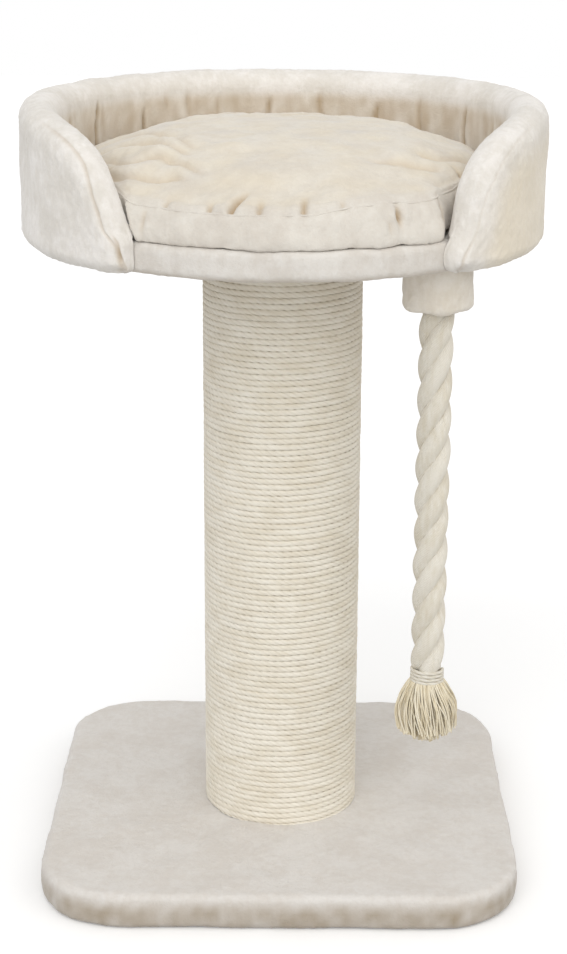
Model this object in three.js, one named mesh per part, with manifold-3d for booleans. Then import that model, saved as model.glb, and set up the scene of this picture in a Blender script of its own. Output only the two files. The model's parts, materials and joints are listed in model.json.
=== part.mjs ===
// A cat scratching post: a square plush-covered base, a post wound with sisal rope, a round
// padded bed with a raised wall that is open at the front, a loose round cushion, and a thick
// cotton rope that hangs from a round block under the bed.
// Millimetres, +Z up, the front towards -Y. The origin is on the floor under the base's middle.

import * as THREE from 'three';
import { mergeVertices } from 'three/addons/utils/BufferGeometryUtils.js';
import Module from 'manifold-3d';

// Clearance, cloth, and how far a cutting shape runs past what it cuts
const GAP = 0.3;
const PLUSH = 4;
const PAST = 1;

// Base
const BASE_WIDTH = 600;
const BASE_CORNER = 105;
const BASE_HEIGHT = 45;
const BASE_EDGE = 11;
const BASE_HEM = 40;

// Post, whose axis is also the axis of the bed
const AXIS_Y = -10;
const POST_RADIUS = 100;
const TUBE_RADIUS = 91.5;
const TUBE_WALL = 6;
const DISC_THICKNESS = 18;

// Sisal winding: one band of rope turns laid side by side
const WINDING_LOOPS = 20;
const RIDGES_PER_LOOP = 4;
const WINDING_STEPS = 16;
const RIDGE_DEPTH = 3;
const LOOP_GAP = 0.6;

// Bed platform
const PLATFORM_RADIUS = 290;
const PLATFORM_LOW = 800;
const PLATFORM_HIGH = 837;
const PLATFORM_EDGE = 9;
const UNDERSIDE_OPENING = 65;

// Bed wall: a padded sheet bent round the platform, angles in degrees from the wall's front.
// The whole wall is turned a little towards +X.
const WALL_MID_RADIUS = 296;
const WALL_HALF_THICKNESS = 24;
const WALL_LOW = 801;
const WALL_TOP = 973;
const WALL_BOTTOM_ROUND = 6;
const WALL_TURN = THREE.MathUtils.degToRad(2);
const END_ANGLE_LOW = 38;
const END_ANGLE_HIGH = 43.5;
const END_HEIGHT = 915;
const CORNER_SWEEP = 48;
const WALL_COLUMNS = 34;
const WALL_ROWS = 7;
const WALL_BOARD_THICKNESS = 5;
const WALL_BOARD_INSET = 12;
const WALL_BOARD_LOW = 807;
const FOAM_FRONT = -228;
const FOAM_TIP = 60;

// Cushion
const CUSHION_RADIUS = 268;
const CUSHION_CROWN = 935;
const CUSHION_SEAM = 41;
const CUSHION_SEGMENTS = 48;
const CUSHION_CLOTH = 3;
const PUCKERS = 16;
const PUCKER_DEPTH = 2.5;
const PUCKER_REACH = 22;
const CLOSURE_WIDTH = 180;
const CLOSURE_HEIGHT = 1.5;
const BULGE = 18;
const BULGE_START_RADIUS = 200;
const BULGE_FULL_ANGLE = THREE.MathUtils.degToRad(22.5);
const BULGE_END_ANGLE = THREE.MathUtils.degToRad(45);

// Fasteners
const BOLT_CIRCLE = 50;
const BOLT_COUNT = 3;
const BOLT_RADIUS = 4;
const BOLT_HEAD_RADIUS = 7;
const BOLT_HEAD_HEIGHT = 5;
const BOLT_POCKET = 9;
const BOLT_REACH = 8;
const WASHER_RADIUS = 12;
const WASHER_THICKNESS = 2;
const NUT_FLANGE_RADIUS = 10;
const NUT_FLANGE_THICKNESS = 1.5;
const NUT_BARREL_RADIUS = 5;
const SCREW_RADIUS = 2;
const SCREW_HEAD_RADIUS = 4.2;
const SCREW_HEAD_HEIGHT = 2.5;
const SCREW_TIP = 4;
const WALL_SCREWS = 5;
const WALL_SCREW_LENGTH = 38;

// Rope and its block
const ROPE_X = 183;
const ROPE_Y = -150;
const ROPE_RADIUS = 21;
const BLOCK_RADIUS = 42;
const BLOCK_LOW = 740;
const BLOCK_EDGE = 8;
const BLOCK_BORE_TOP = 784;
const BLOCK_SCREW_SPREAD = 28;
const BLOCK_SCREW_LENGTH = 42;
const NECK_LENGTH = 50;
const ROPE_LOW = 262;
const TASSEL_LOW = 186;
const TASSEL_RADIUS = 38;
const TASSEL_FLUTE = 0.12;
const TWINE_RADIUS = 2.5;
const TWINE_TURNS = 4;
const TWINE_SIDES = 5;
const PIN_RADIUS = 4;
const ROPE_SIDES = 12;

// Facets round a large and a small round piece
const LARGE_FACETS = 40;
const SMALL_FACETS = 8;

const wasm = await Module();
wasm.setup();

const MATERIALS = {
  plush: finish(0xe8e1d6, 0.95, 0),
  sisal: finish(0xdccfb3, 0.9, 0),
  cotton: finish(0xe6dfc9, 0.9, 0),
  board: finish(0xb8986a, 0.8, 0),
  cardboard: finish(0xa98a62, 0.9, 0),
  foam: finish(0xf1eee4, 0.95, 0),
  steel: finish(0xb9bbbe, 0.35, 0.9),
};

function finish(color, roughness, metalness) {
  return new THREE.MeshStandardMaterial({ color, roughness, metalness });
}

// ---- Making closed bodies ----

function signedVolume(position, index) {
  const a = new THREE.Vector3();
  const b = new THREE.Vector3();
  const c = new THREE.Vector3();
  let volume = 0;
  for (let i = 0; i < index.length; i += 3) {
    a.fromBufferAttribute(position, index[i]);
    b.fromBufferAttribute(position, index[i + 1]);
    c.fromBufferAttribute(position, index[i + 2]);
    volume += a.dot(b.cross(c)) / 6;
  }
  return volume;
}

// Shares the vertices that meet, drops faces of no area and turns the faces outwards.
function closed(geometry) {
  const bare = new THREE.BufferGeometry();
  bare.setAttribute('position', geometry.getAttribute('position'));
  bare.setIndex(geometry.index);
  const shared = mergeVertices(bare, 1e-4);
  const old = shared.index.array;
  let index = [];
  for (let i = 0; i < old.length; i += 3) {
    const [a, b, c] = [old[i], old[i + 1], old[i + 2]];
    if (a !== b && b !== c && c !== a) index.push(a, b, c);
  }
  if (signedVolume(shared.getAttribute('position'), index) < 0) index = index.reverse();
  shared.setIndex(index);
  return shared;
}

function toSolid(geometry) {
  const shared = closed(geometry);
  return new wasm.Manifold(new wasm.Mesh({
    numProp: 3,
    vertProperties: new Float32Array(shared.getAttribute('position').array),
    triVerts: new Uint32Array(shared.index.array),
  }));
}

function toGeometry(solid) {
  const mesh = solid.getMesh();
  const geometry = new THREE.BufferGeometry();
  geometry.setAttribute('position', new THREE.BufferAttribute(mesh.vertProperties, 3));
  geometry.setIndex(new THREE.BufferAttribute(mesh.triVerts, 1));
  return geometry;
}

function cut(geometry, ...tools) {
  let solid = toSolid(geometry);
  for (const tool of tools) {
    solid = solid.subtract(toSolid(tool));
  }
  return toGeometry(solid);
}

function common(geometry, other) {
  return toGeometry(toSolid(geometry).intersect(toSolid(other)));
}

function joined(geometry, other) {
  return toGeometry(toSolid(geometry).add(toSolid(other)));
}

// ---- Basic shapes ----

// Turns a profile of [radius, height] points about the Z axis.
function revolve(profile, facets) {
  const points = profile.map(([radius, height]) => new THREE.Vector2(radius, height));
  return closed(new THREE.LatheGeometry(points, facets).rotateX(Math.PI / 2));
}

function cylinder(radius, low, high, facets = SMALL_FACETS) {
  const shape = new THREE.CylinderGeometry(radius, radius, high - low, facets);
  return closed(shape.rotateX(Math.PI / 2).translate(0, 0, (low + high) / 2));
}

function ring(inner, outer, low, high, facets) {
  return revolve([[inner, low], [outer, low], [outer, high], [inner, high], [inner, low]], facets);
}

// A disc whose rims are rounded.
function softDisc(radius, low, high, edge, facets) {
  const profile = [[0, low]];
  const steps = 2;
  for (let i = 0; i <= steps; i += 1) {
    const a = (i / steps) * Math.PI / 2;
    profile.push([radius - edge + edge * Math.sin(a), low + edge - edge * Math.cos(a)]);
  }
  for (let i = 0; i <= steps; i += 1) {
    const a = (i / steps) * Math.PI / 2;
    profile.push([radius - edge + edge * Math.cos(a), high - edge + edge * Math.sin(a)]);
  }
  profile.push([0, high]);
  return revolve(profile, facets);
}

function roundedSquare(width, corner) {
  const half = width / 2;
  const centre = half - corner;
  const shape = new THREE.Shape();
  shape.moveTo(-centre, -half);
  shape.absarc(centre, -centre, corner, -Math.PI / 2, 0);
  shape.absarc(centre, centre, corner, 0, Math.PI / 2);
  shape.absarc(-centre, centre, corner, Math.PI / 2, Math.PI);
  shape.absarc(-centre, -centre, corner, Math.PI, Math.PI * 1.5);
  return shape;
}

function squareSlab(width, corner, low, high, edge) {
  const shape = roundedSquare(width - 2 * edge, corner - edge);
  const slab = new THREE.ExtrudeGeometry(shape, {
    depth: high - low - 2 * edge,
    bevelEnabled: edge > 0,
    bevelSize: edge,
    bevelThickness: edge,
    bevelSegments: 2,
    curveSegments: 7,
  });
  return closed(slab.translate(0, 0, low + edge));
}

// A tube along a straight route, with a step about every two and a half diameters.
function ropeLength(radius, low, high) {
  const outline = new THREE.Shape();
  for (let i = 0; i < ROPE_SIDES; i += 1) {
    const a = (i / ROPE_SIDES) * Math.PI * 2;
    const point = [radius * Math.cos(a), radius * Math.sin(a)];
    if (i === 0) outline.moveTo(...point);
    else outline.lineTo(...point);
  }
  outline.closePath();
  const route = new THREE.LineCurve3(new THREE.Vector3(0, 0, high), new THREE.Vector3(0, 0, low));
  const steps = Math.max(1, Math.round((high - low) / (5 * radius)));
  return closed(new THREE.ExtrudeGeometry(outline, { steps, extrudePath: route }));
}

// Joins rings of points into one skin and closes the first and last ring.
function loft(rings, outline) {
  const count = outline.length;
  const index = [];
  for (let r = 0; r + 1 < rings.length; r += 1) {
    for (let p = 0; p < count; p += 1) {
      const next = (p + 1) % count;
      const [a, b] = [r * count + p, r * count + next];
      const [c, d] = [a + count, b + count];
      index.push(a, b, d, a, d, c);
    }
  }
  const last = (rings.length - 1) * count;
  for (const [a, b, c] of THREE.ShapeUtils.triangulateShape(outline, [])) {
    index.push(c, b, a, last + a, last + b, last + c);
  }
  const geometry = new THREE.BufferGeometry();
  const points = rings.flat().flatMap((point) => point.toArray());
  geometry.setAttribute('position', new THREE.Float32BufferAttribute(points, 3));
  geometry.setIndex(index);
  return closed(geometry);
}

// ---- Windings ----

function onCylinder(radius, angle, height) {
  return new THREE.Vector3(radius * Math.cos(angle), radius * Math.sin(angle), height);
}

// The rings of one unbroken winding. The section's points hold a radius and a height.
function windingRings(section, pitch, low, loops, steps) {
  const rings = [];
  for (let k = 0; k <= loops * steps; k += 1) {
    const angle = (k / steps) * Math.PI * 2;
    const rise = low + (k / steps) * pitch;
    rings.push(section.map((point) => onCylinder(point.x, angle, point.y + rise)));
  }
  return rings;
}

// The least distance from a point of one loop to a point of the next.
function leastGap(rings, steps) {
  let least = Infinity;
  for (let k = 0; k + steps < rings.length; k += 1) {
    for (const a of rings[k]) {
      for (const b of rings[k + steps]) {
        least = Math.min(least, a.distanceTo(b));
      }
    }
  }
  return least;
}

function winding(name, section, pitch, low, loops, steps) {
  const rings = windingRings(section, pitch, low, loops, steps);
  console.log(`${name}: least gap between its loops ${leastGap(rings, steps).toFixed(2)} mm`);
  return loft(rings, section);
}

// The band's section: a flat back with rounded rope turns side by side in front of it.
function sisalSection(pitch) {
  const back = (TUBE_RADIUS + GAP) / Math.cos(Math.PI / WINDING_STEPS) + GAP;
  const ridge = pitch / RIDGES_PER_LOOP;
  const points = [new THREE.Vector2(back, LOOP_GAP / 2)];
  for (let i = 0; i < RIDGES_PER_LOOP; i += 1) {
    points.push(new THREE.Vector2(POST_RADIUS, (i + 0.5) * ridge));
    if (i + 1 < RIDGES_PER_LOOP) {
      points.push(new THREE.Vector2(POST_RADIUS - RIDGE_DEPTH, (i + 1) * ridge));
    }
  }
  points.push(new THREE.Vector2(back, pitch - LOOP_GAP / 2));
  return points;
}

function sisalWinding(low, high) {
  const pitch = (high - low) / WINDING_LOOPS;
  const loops = WINDING_LOOPS + 1;
  const section = sisalSection(pitch);
  const band = winding('sisal_winding', section, pitch, low - pitch, loops, WINDING_STEPS);
  return common(band, cylinder(POST_RADIUS + PLUSH, low, high, WINDING_STEPS));
}

function twineBinding(low) {
  const steps = 12;
  const centre = (ROPE_RADIUS + GAP) / Math.cos(Math.PI / steps) + TWINE_RADIUS + GAP;
  const section = [];
  for (let i = 0; i < TWINE_SIDES; i += 1) {
    const a = (i / TWINE_SIDES) * Math.PI * 2;
    const radius = centre + TWINE_RADIUS * Math.cos(a);
    section.push(new THREE.Vector2(radius, TWINE_RADIUS * Math.sin(a)));
  }
  const pitch = 2 * TWINE_RADIUS + LOOP_GAP;
  return winding('rope_binding', section, pitch, low + TWINE_RADIUS, TWINE_TURNS, steps);
}

// ---- Bed wall ----

// Height of the wall's top edge at an angle from the front, in degrees.
function wallEdge(angle) {
  if (angle < END_ANGLE_HIGH) {
    const rise = (angle - END_ANGLE_LOW) / (END_ANGLE_HIGH - END_ANGLE_LOW);
    return WALL_LOW + Math.max(0, rise) * (END_HEIGHT - WALL_LOW);
  }
  const u = Math.max(0, 1 - (angle - END_ANGLE_HIGH) / CORNER_SWEEP);
  return END_HEIGHT + (WALL_TOP - END_HEIGHT) * Math.sqrt(1 - u * u);
}

function arcLength(angle) {
  return THREE.MathUtils.degToRad(angle) * WALL_MID_RADIUS;
}

function insetAngle(inset) {
  return THREE.MathUtils.radToDeg(inset / WALL_MID_RADIUS);
}

// Distance of a point of the wall, unrolled flat, from the wall's edge.
function edgeDistance(angle, height, inset) {
  const shift = insetAngle(inset);
  const steps = 240;
  let least = Infinity;
  for (let i = 0; i <= steps; i += 1) {
    const at = END_ANGLE_LOW + (180 - END_ANGLE_LOW) * (i / steps) ** 2;
    const across = arcLength(at + shift - angle);
    least = Math.min(least, Math.hypot(across, wallEdge(at) - inset - height));
  }
  return least;
}

function halfThickness(distance, inset) {
  const full = WALL_HALF_THICKNESS - inset;
  const left = Math.max(0, full - distance);
  return Math.sqrt(Math.max(0, full * full - left * left));
}

// One upright section through the wall: up the outer face, over the edge, down the inner face.
function wallSection(fromFront, angle, inset, low, rows) {
  const top = Math.max(low, wallEdge(fromFront - insetAngle(inset)) - inset);
  const outer = [];
  const inner = [];
  for (let j = 0; j <= rows; j += 1) {
    const height = top - (top - low) * (j / rows) ** 1.9;
    const half = halfThickness(j === 0 ? 0 : edgeDistance(fromFront, height, inset), inset);
    const tuck = j === rows ? Math.min(half, WALL_BOTTOM_ROUND) : 0;
    outer.unshift(onCylinder(WALL_MID_RADIUS + half - tuck, angle, height));
    inner.push(onCylinder(WALL_MID_RADIUS - half, angle, height));
  }
  return [...outer, ...inner];
}

// Carries a section along the wall, from one front end round the back to the other.
function alongWall(inset, section) {
  const start = END_ANGLE_LOW + insetAngle(inset);
  const rings = [];
  for (let k = 0; k <= WALL_COLUMNS; k += 1) {
    const t = 2 * k / WALL_COLUMNS - 1;
    const fromFront = start + (180 - start) * (1 - Math.abs(t)) ** 1.8;
    const turn = THREE.MathUtils.degToRad(t < 0 ? fromFront : 360 - fromFront) - Math.PI / 2;
    rings.push(section(fromFront, turn + WALL_TURN));
  }
  return loft(rings, endOutline(rings[0].length));
}

// The wall's envelope, or the same form lying deeper in by the inset.
function wallForm(inset, low, rows) {
  return alongWall(inset, (fromFront, turn) => wallSection(fromFront, turn, inset, low, rows));
}

// A stand-in outline for the end rings, which have no width.
function endOutline(count) {
  const points = [];
  for (let i = 0; i < count; i += 1) {
    const a = (i / count) * Math.PI * 2;
    points.push(new THREE.Vector2(Math.cos(a), Math.sin(a)));
  }
  return points;
}

// The padding's own form, before its slot for the board is cut.
function wallPadding() {
  return wallForm(PLUSH + 2 * GAP, WALL_LOW + PLUSH + 2 * GAP, WALL_ROWS - 3);
}

// Moves every point of a form outwards by the growth.
function swollen(geometry, growth) {
  geometry.computeVertexNormals();
  const position = geometry.getAttribute('position');
  const normal = geometry.getAttribute('normal');
  const point = new THREE.Vector3();
  const push = new THREE.Vector3();
  for (let i = 0; i < position.count; i += 1) {
    push.fromBufferAttribute(normal, i).multiplyScalar(growth);
    point.fromBufferAttribute(position, i).add(push);
    position.setXYZ(i, point.x, point.y, point.z);
  }
  return geometry;
}

function platformSpace(clearance) {
  const radius = PLATFORM_RADIUS + clearance;
  return cylinder(radius, PLATFORM_LOW - PAST, PLATFORM_HIGH + clearance, LARGE_FACETS);
}

// The bent board, or with some growth the slot that it stands in.
function wallBoardForm(growth, low) {
  const half = WALL_BOARD_THICKNESS / 2 + growth;
  const inset = WALL_BOARD_INSET - growth;
  return alongWall(inset, (fromFront, turn) => {
    const top = Math.max(low, wallEdge(fromFront - insetAngle(inset)) - inset);
    return [[half, low], [half, top], [-half, top], [-half, low]].map(
      ([side, height]) => onCylinder(WALL_MID_RADIUS + side, turn, height),
    );
  });
}

// ---- Fasteners ----

function boltPositions() {
  const places = [];
  for (let i = 0; i < BOLT_COUNT; i += 1) {
    const a = Math.PI / 2 + (i / BOLT_COUNT) * Math.PI * 2;
    places.push([BOLT_CIRCLE * Math.cos(a), BOLT_CIRCLE * Math.sin(a)]);
  }
  return places;
}

function holes(radius, low, high) {
  return boltPositions().map(([x, y]) => cylinder(radius, low, high).translate(x, y, 0));
}

// A bolt with its head down and the underside of the head at the given height.
function bolt(seat, length) {
  return revolve([
    [0, -BOLT_HEAD_HEIGHT],
    [BOLT_HEAD_RADIUS * 0.7, -BOLT_HEAD_HEIGHT],
    [BOLT_HEAD_RADIUS, -BOLT_HEAD_HEIGHT * 0.6],
    [BOLT_HEAD_RADIUS, 0],
    [BOLT_RADIUS, 0],
    [BOLT_RADIUS, length],
    [0, length],
  ], SMALL_FACETS).translate(0, 0, seat);
}

function washer(low) {
  const bore = BOLT_RADIUS + GAP;
  return ring(bore, WASHER_RADIUS, low, low + WASHER_THICKNESS, SMALL_FACETS);
}

// A nut whose flange lies on the face at height 0 and whose barrel reaches down into the wood.
function teeNut() {
  const bore = BOLT_RADIUS + GAP;
  return revolve([
    [bore, -DISC_THICKNESS / 2],
    [NUT_BARREL_RADIUS, -DISC_THICKNESS / 2],
    [NUT_BARREL_RADIUS, GAP],
    [NUT_FLANGE_RADIUS, GAP],
    [NUT_FLANGE_RADIUS, GAP + NUT_FLANGE_THICKNESS],
    [bore, GAP + NUT_FLANGE_THICKNESS],
    [bore, -DISC_THICKNESS / 2],
  ], SMALL_FACETS);
}

// A wood screw with the underside of its head at height 0, pointing down.
function screw(length) {
  return revolve([
    [0, -length],
    [SCREW_RADIUS, -length + SCREW_TIP],
    [SCREW_RADIUS, 0],
    [SCREW_HEAD_RADIUS, 0],
    [SCREW_HEAD_RADIUS, SCREW_HEAD_HEIGHT * 0.6],
    [SCREW_HEAD_RADIUS * 0.6, SCREW_HEAD_HEIGHT],
    [0, SCREW_HEAD_HEIGHT],
  ], SMALL_FACETS);
}

// ---- Pieces ----

function piece(name, geometry, material) {
  const flat = geometry.toNonIndexed();
  flat.computeVertexNormals();
  const mesh = new THREE.Mesh(flat, MATERIALS[material]);
  mesh.name = name;
  return mesh;
}

function group(x, y, ...pieces) {
  const made = new THREE.Group();
  made.position.set(x, y, 0);
  made.add(...pieces);
  return made;
}

const boardLow = PLUSH + GAP;
const boardHigh = BASE_HEIGHT - PLUSH - GAP;
const postLow = BASE_HEIGHT + GAP;
const postHigh = PLATFORM_LOW - GAP;

// Shifts the bolt holes, which lie round the post's axis, into the frame of the base.
function underPost(tools) {
  return tools.map((tool) => tool.translate(0, AXIS_Y, 0));
}

function baseBoard() {
  const width = BASE_WIDTH - 2 * (PLUSH + GAP);
  const board = squareSlab(width, BASE_CORNER - PLUSH - GAP, boardLow, boardHigh, 0);
  const shafts = holes(BOLT_RADIUS + GAP, boardLow - PAST, boardHigh + PAST);
  const pockets = holes(WASHER_RADIUS + GAP, boardLow - PAST, boardLow + BOLT_POCKET);
  return cut(board, ...underPost(shafts), ...underPost(pockets));
}

function baseCover() {
  const skin = squareSlab(BASE_WIDTH, BASE_CORNER, 0, BASE_HEIGHT, BASE_EDGE);
  const inside = BASE_WIDTH - 2 * PLUSH;
  const room = squareSlab(inside, BASE_CORNER - PLUSH, PLUSH, BASE_HEIGHT - PLUSH, 0);
  const opening = BASE_WIDTH - 2 * BASE_HEM;
  const mouth = squareSlab(opening, BASE_CORNER - BASE_HEM, -PAST, PLUSH + PAST, 0);
  const shafts = holes(BOLT_RADIUS + GAP, BASE_HEIGHT / 2, BASE_HEIGHT + PAST);
  return cut(skin, room, mouth, ...underPost(shafts));
}

function postDisc(low) {
  const high = low + DISC_THICKNESS;
  const disc = cylinder(TUBE_RADIUS - TUBE_WALL - GAP, low, high, LARGE_FACETS);
  return cut(disc, ...holes(NUT_BARREL_RADIUS + GAP, low - PAST, high + PAST));
}

function postTube() {
  return ring(TUBE_RADIUS - TUBE_WALL, TUBE_RADIUS, postLow, postHigh, LARGE_FACETS);
}

// The bolts, washers and nuts of one end of the post. A turned set points down.
function fastenerSet(prefix, seat, face, length, turned) {
  const made = [];
  boltPositions().forEach(([x, y], i) => {
    const parts = {
      bolt: [bolt(0, length), seat],
      washer: [washer(GAP), seat],
      tee_nut: [teeNut(), face],
    };
    for (const [kind, [geometry, height]] of Object.entries(parts)) {
      const mesh = piece(`${prefix}_${kind}_${i + 1}`, geometry, 'steel');
      mesh.position.set(x, y, height);
      if (turned) mesh.rotation.x = Math.PI;
      made.push(mesh);
    }
  });
  return made;
}

const platformBoardLow = PLATFORM_LOW + PLUSH + GAP;
const platformBoardHigh = PLATFORM_HIGH - PLUSH - GAP;
const blockX = ROPE_X;
const blockY = ROPE_Y - AXIS_Y;

function blockScrewPositions() {
  return [[blockX - BLOCK_SCREW_SPREAD, blockY], [blockX + BLOCK_SCREW_SPREAD, blockY]];
}

function blockScrewHoles(radius, low, high) {
  return blockScrewPositions().map(([x, y]) => cylinder(radius, low, high).translate(x, y, 0));
}

// Points a shape that lies along Z away from the axis, at one of the wall screws' angles.
function atWallScrew(shape, i) {
  const angle = ((i + 0.5) / WALL_SCREWS) * Math.PI * 1.5 - Math.PI / 4 + WALL_TURN;
  const height = (PLATFORM_LOW + PLATFORM_HIGH) / 2;
  return shape.rotateY(Math.PI / 2).rotateZ(angle).translate(0, 0, height);
}

function wallScrewHoles(radius, from, to) {
  const made = [];
  for (let i = 0; i < WALL_SCREWS; i += 1) {
    made.push(atWallScrew(cylinder(radius, from, to), i));
  }
  return made;
}

const screwSeat = WALL_MID_RADIUS + WALL_BOARD_THICKNESS / 2 + GAP;
const screwTop = screwSeat + SCREW_HEAD_HEIGHT;
const screwEnd = screwSeat - WALL_SCREW_LENGTH;

function platformBoard() {
  const radius = PLATFORM_RADIUS - PLUSH - GAP;
  const board = cylinder(radius, platformBoardLow, platformBoardHigh, LARGE_FACETS);
  const headRoom = platformBoardHigh - SCREW_HEAD_HEIGHT - 2 * GAP;
  return cut(
    board,
    ...holes(BOLT_RADIUS + GAP, platformBoardLow - PAST, platformBoardHigh + PAST),
    ...holes(WASHER_RADIUS + GAP, platformBoardHigh - BOLT_POCKET, platformBoardHigh + PAST),
    ...blockScrewHoles(SCREW_RADIUS + GAP, platformBoardLow - PAST, platformBoardHigh + PAST),
    ...blockScrewHoles(SCREW_HEAD_RADIUS + GAP, headRoom, platformBoardHigh + PAST),
    ...wallScrewHoles(SCREW_RADIUS + GAP, screwEnd - PAST, PLATFORM_RADIUS),
  );
}

function platformCover() {
  const skin = softDisc(PLATFORM_RADIUS, PLATFORM_LOW, PLATFORM_HIGH, PLATFORM_EDGE, LARGE_FACETS);
  const inside = PLATFORM_RADIUS - PLUSH;
  return cut(
    skin,
    cylinder(inside, PLATFORM_LOW + PLUSH, PLATFORM_HIGH - PLUSH, LARGE_FACETS),
    cylinder(UNDERSIDE_OPENING, PLATFORM_LOW - PAST, PLATFORM_LOW + PLUSH + PAST, LARGE_FACETS / 2),
    ...holes(WASHER_RADIUS + GAP, PLATFORM_HIGH - PLUSH - PAST, PLATFORM_HIGH + PAST),
    ...blockScrewHoles(SCREW_RADIUS + GAP, PLATFORM_LOW - PAST, platformBoardLow + PAST),
    ...wallScrewHoles(SCREW_RADIUS + GAP, inside - PLUSH, PLATFORM_RADIUS + PAST),
  );
}

function wallBoard() {
  const board = wallBoardForm(0, WALL_BOARD_LOW);
  return cut(board, ...wallScrewHoles(SCREW_RADIUS + GAP, screwEnd, screwSeat + PAST));
}

// The padding stops short of the two low front tips, which hold folded cloth alone.
function frontTips() {
  const tips = new THREE.BoxGeometry(PLATFORM_RADIUS * 2, FOAM_TIP, FOAM_TIP);
  return closed(tips.translate(0, FOAM_FRONT - FOAM_TIP / 2, WALL_LOW).rotateZ(WALL_TURN));
}

function wallFoam() {
  return cut(
    wallPadding(),
    frontTips(),
    cylinder(WALL_MID_RADIUS, WALL_LOW, PLATFORM_HIGH + 2 * GAP, LARGE_FACETS),
    wallBoardForm(GAP, WALL_LOW),
    ...wallScrewHoles(SCREW_HEAD_RADIUS + GAP, screwSeat - PAST, screwTop + GAP),
  );
}

function wallCover() {
  return cut(
    wallForm(0, WALL_LOW, WALL_ROWS),
    platformSpace(GAP),
    swollen(wallPadding(), 2 * GAP),
  );
}

function wallScrews() {
  const made = [];
  for (let i = 0; i < WALL_SCREWS; i += 1) {
    const shape = screw(WALL_SCREW_LENGTH).translate(0, 0, screwSeat);
    made.push(piece(`wall_screw_${i + 1}`, atWallScrew(shape, i), 'steel'));
  }
  return made;
}

// Half of the cushion's section: flat below, a bulged side between two seams, a domed top.
function cushionProfile(inset) {
  const low = PLATFORM_HIGH + GAP;
  const seam = low + CUSHION_SEAM;
  const points = [[0, 0], [238, 0.5], [259, 4], [267, 14], [267, 30]];
  const side = points.map(([r, z]) => [r, low + z]);
  const dome = [[262, seam], [252, seam + 9]];
  for (const r of [226, 186, 134, 74, 0]) {
    const spread = r / CUSHION_RADIUS;
    dome.push([r, seam + 14 + (CUSHION_CROWN - seam - 14) * (1 - spread ** 2.6)]);
  }
  const middle = (low + CUSHION_CROWN) / 2;
  return [...side, ...dome].map(([r, z]) => [
    Math.max(0, r - inset * Math.min(1, r / 60)),
    z + Math.sign(middle - z) * inset * (r < 250 ? 1 : Math.abs(middle - z) / 60),
  ]);
}

// The depth of the cloth's puckers, which are deepest at the upper seam.
function pucker(radius, height, angle) {
  const fromSeam = (height - PLATFORM_HIGH - CUSHION_SEAM) / PUCKER_REACH;
  const near = Math.exp(-(fromSeam ** 2)) * Math.min(1, radius / CUSHION_RADIUS);
  const wave = Math.cos(PUCKERS * angle) + 0.5 * Math.cos(7 * angle + 1);
  return PUCKER_DEPTH * near * (wave - 1) / 2;
}

// How far the cushion pushes out through the opening in the wall.
function frontBulge(radius, angle) {
  const turned = angle + Math.PI / 2 - WALL_TURN;
  const fromFront = Math.abs(Math.atan2(Math.sin(turned), Math.cos(turned)));
  const { smoothstep } = THREE.MathUtils;
  const inOpening = 1 - smoothstep(fromFront, BULGE_FULL_ANGLE, BULGE_END_ANGLE);
  return BULGE * inOpening * smoothstep(radius, BULGE_START_RADIUS, CUSHION_RADIUS);
}

function cushionForm(inset, segments, puckered) {
  const rings = cushionProfile(inset).map(([radius, height]) => {
    const points = [];
    for (let j = 0; j < segments; j += 1) {
      const angle = (j / segments) * Math.PI * 2;
      const depth = puckered ? pucker(radius, height, angle) : 0;
      const reach = radius + depth + frontBulge(radius, angle);
      points.push(onCylinder(reach, angle, height + depth * 0.5));
    }
    return points;
  });
  const outline = rings[1].map((point) => new THREE.Vector2(point.x, point.y));
  return loft(rings, outline);
}

// The cover has a closure slit low at the back.
function cushionCover() {
  const slit = new THREE.BoxGeometry(CLOSURE_WIDTH, CUSHION_RADIUS / 10, CLOSURE_HEIGHT);
  slit.translate(0, CUSHION_RADIUS, PLATFORM_HIGH + CUSHION_SEAM / 2);
  return cut(
    cushionForm(0, CUSHION_SEGMENTS, true),
    cushionForm(CUSHION_CLOTH + PUCKER_DEPTH, CUSHION_SEGMENTS / 2, false),
    closed(slit),
  );
}

function cushionFilling() {
  return cushionForm(CUSHION_CLOTH + PUCKER_DEPTH + 3 * GAP, CUSHION_SEGMENTS / 2, false);
}

// ---- Rope and block, about the rope's own axis ----

const blockTop = PLATFORM_LOW - GAP;
const blockCore = BLOCK_RADIUS - PLUSH - GAP;
const ropeBore = ROPE_RADIUS + GAP;
const pinHeight = (BLOCK_LOW + BLOCK_BORE_TOP) / 2;

function pinAlongX(radius, halfLength) {
  const shape = cylinder(radius, -halfLength, halfLength);
  return shape.rotateY(Math.PI / 2).translate(0, 0, pinHeight);
}

function ropeBlock() {
  const core = cylinder(blockCore, BLOCK_LOW + PLUSH + GAP, blockTop, LARGE_FACETS / 2);
  const screwHoles = [-1, 1].map((side) => {
    const shape = cylinder(SCREW_RADIUS + GAP, BLOCK_BORE_TOP + PAST, blockTop + PAST);
    return shape.translate(side * BLOCK_SCREW_SPREAD, 0, 0);
  });
  return cut(
    core,
    cylinder(ropeBore, BLOCK_LOW, BLOCK_BORE_TOP, ROPE_SIDES * 2),
    pinAlongX(PIN_RADIUS + GAP, BLOCK_RADIUS),
    ...screwHoles,
  );
}

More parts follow.
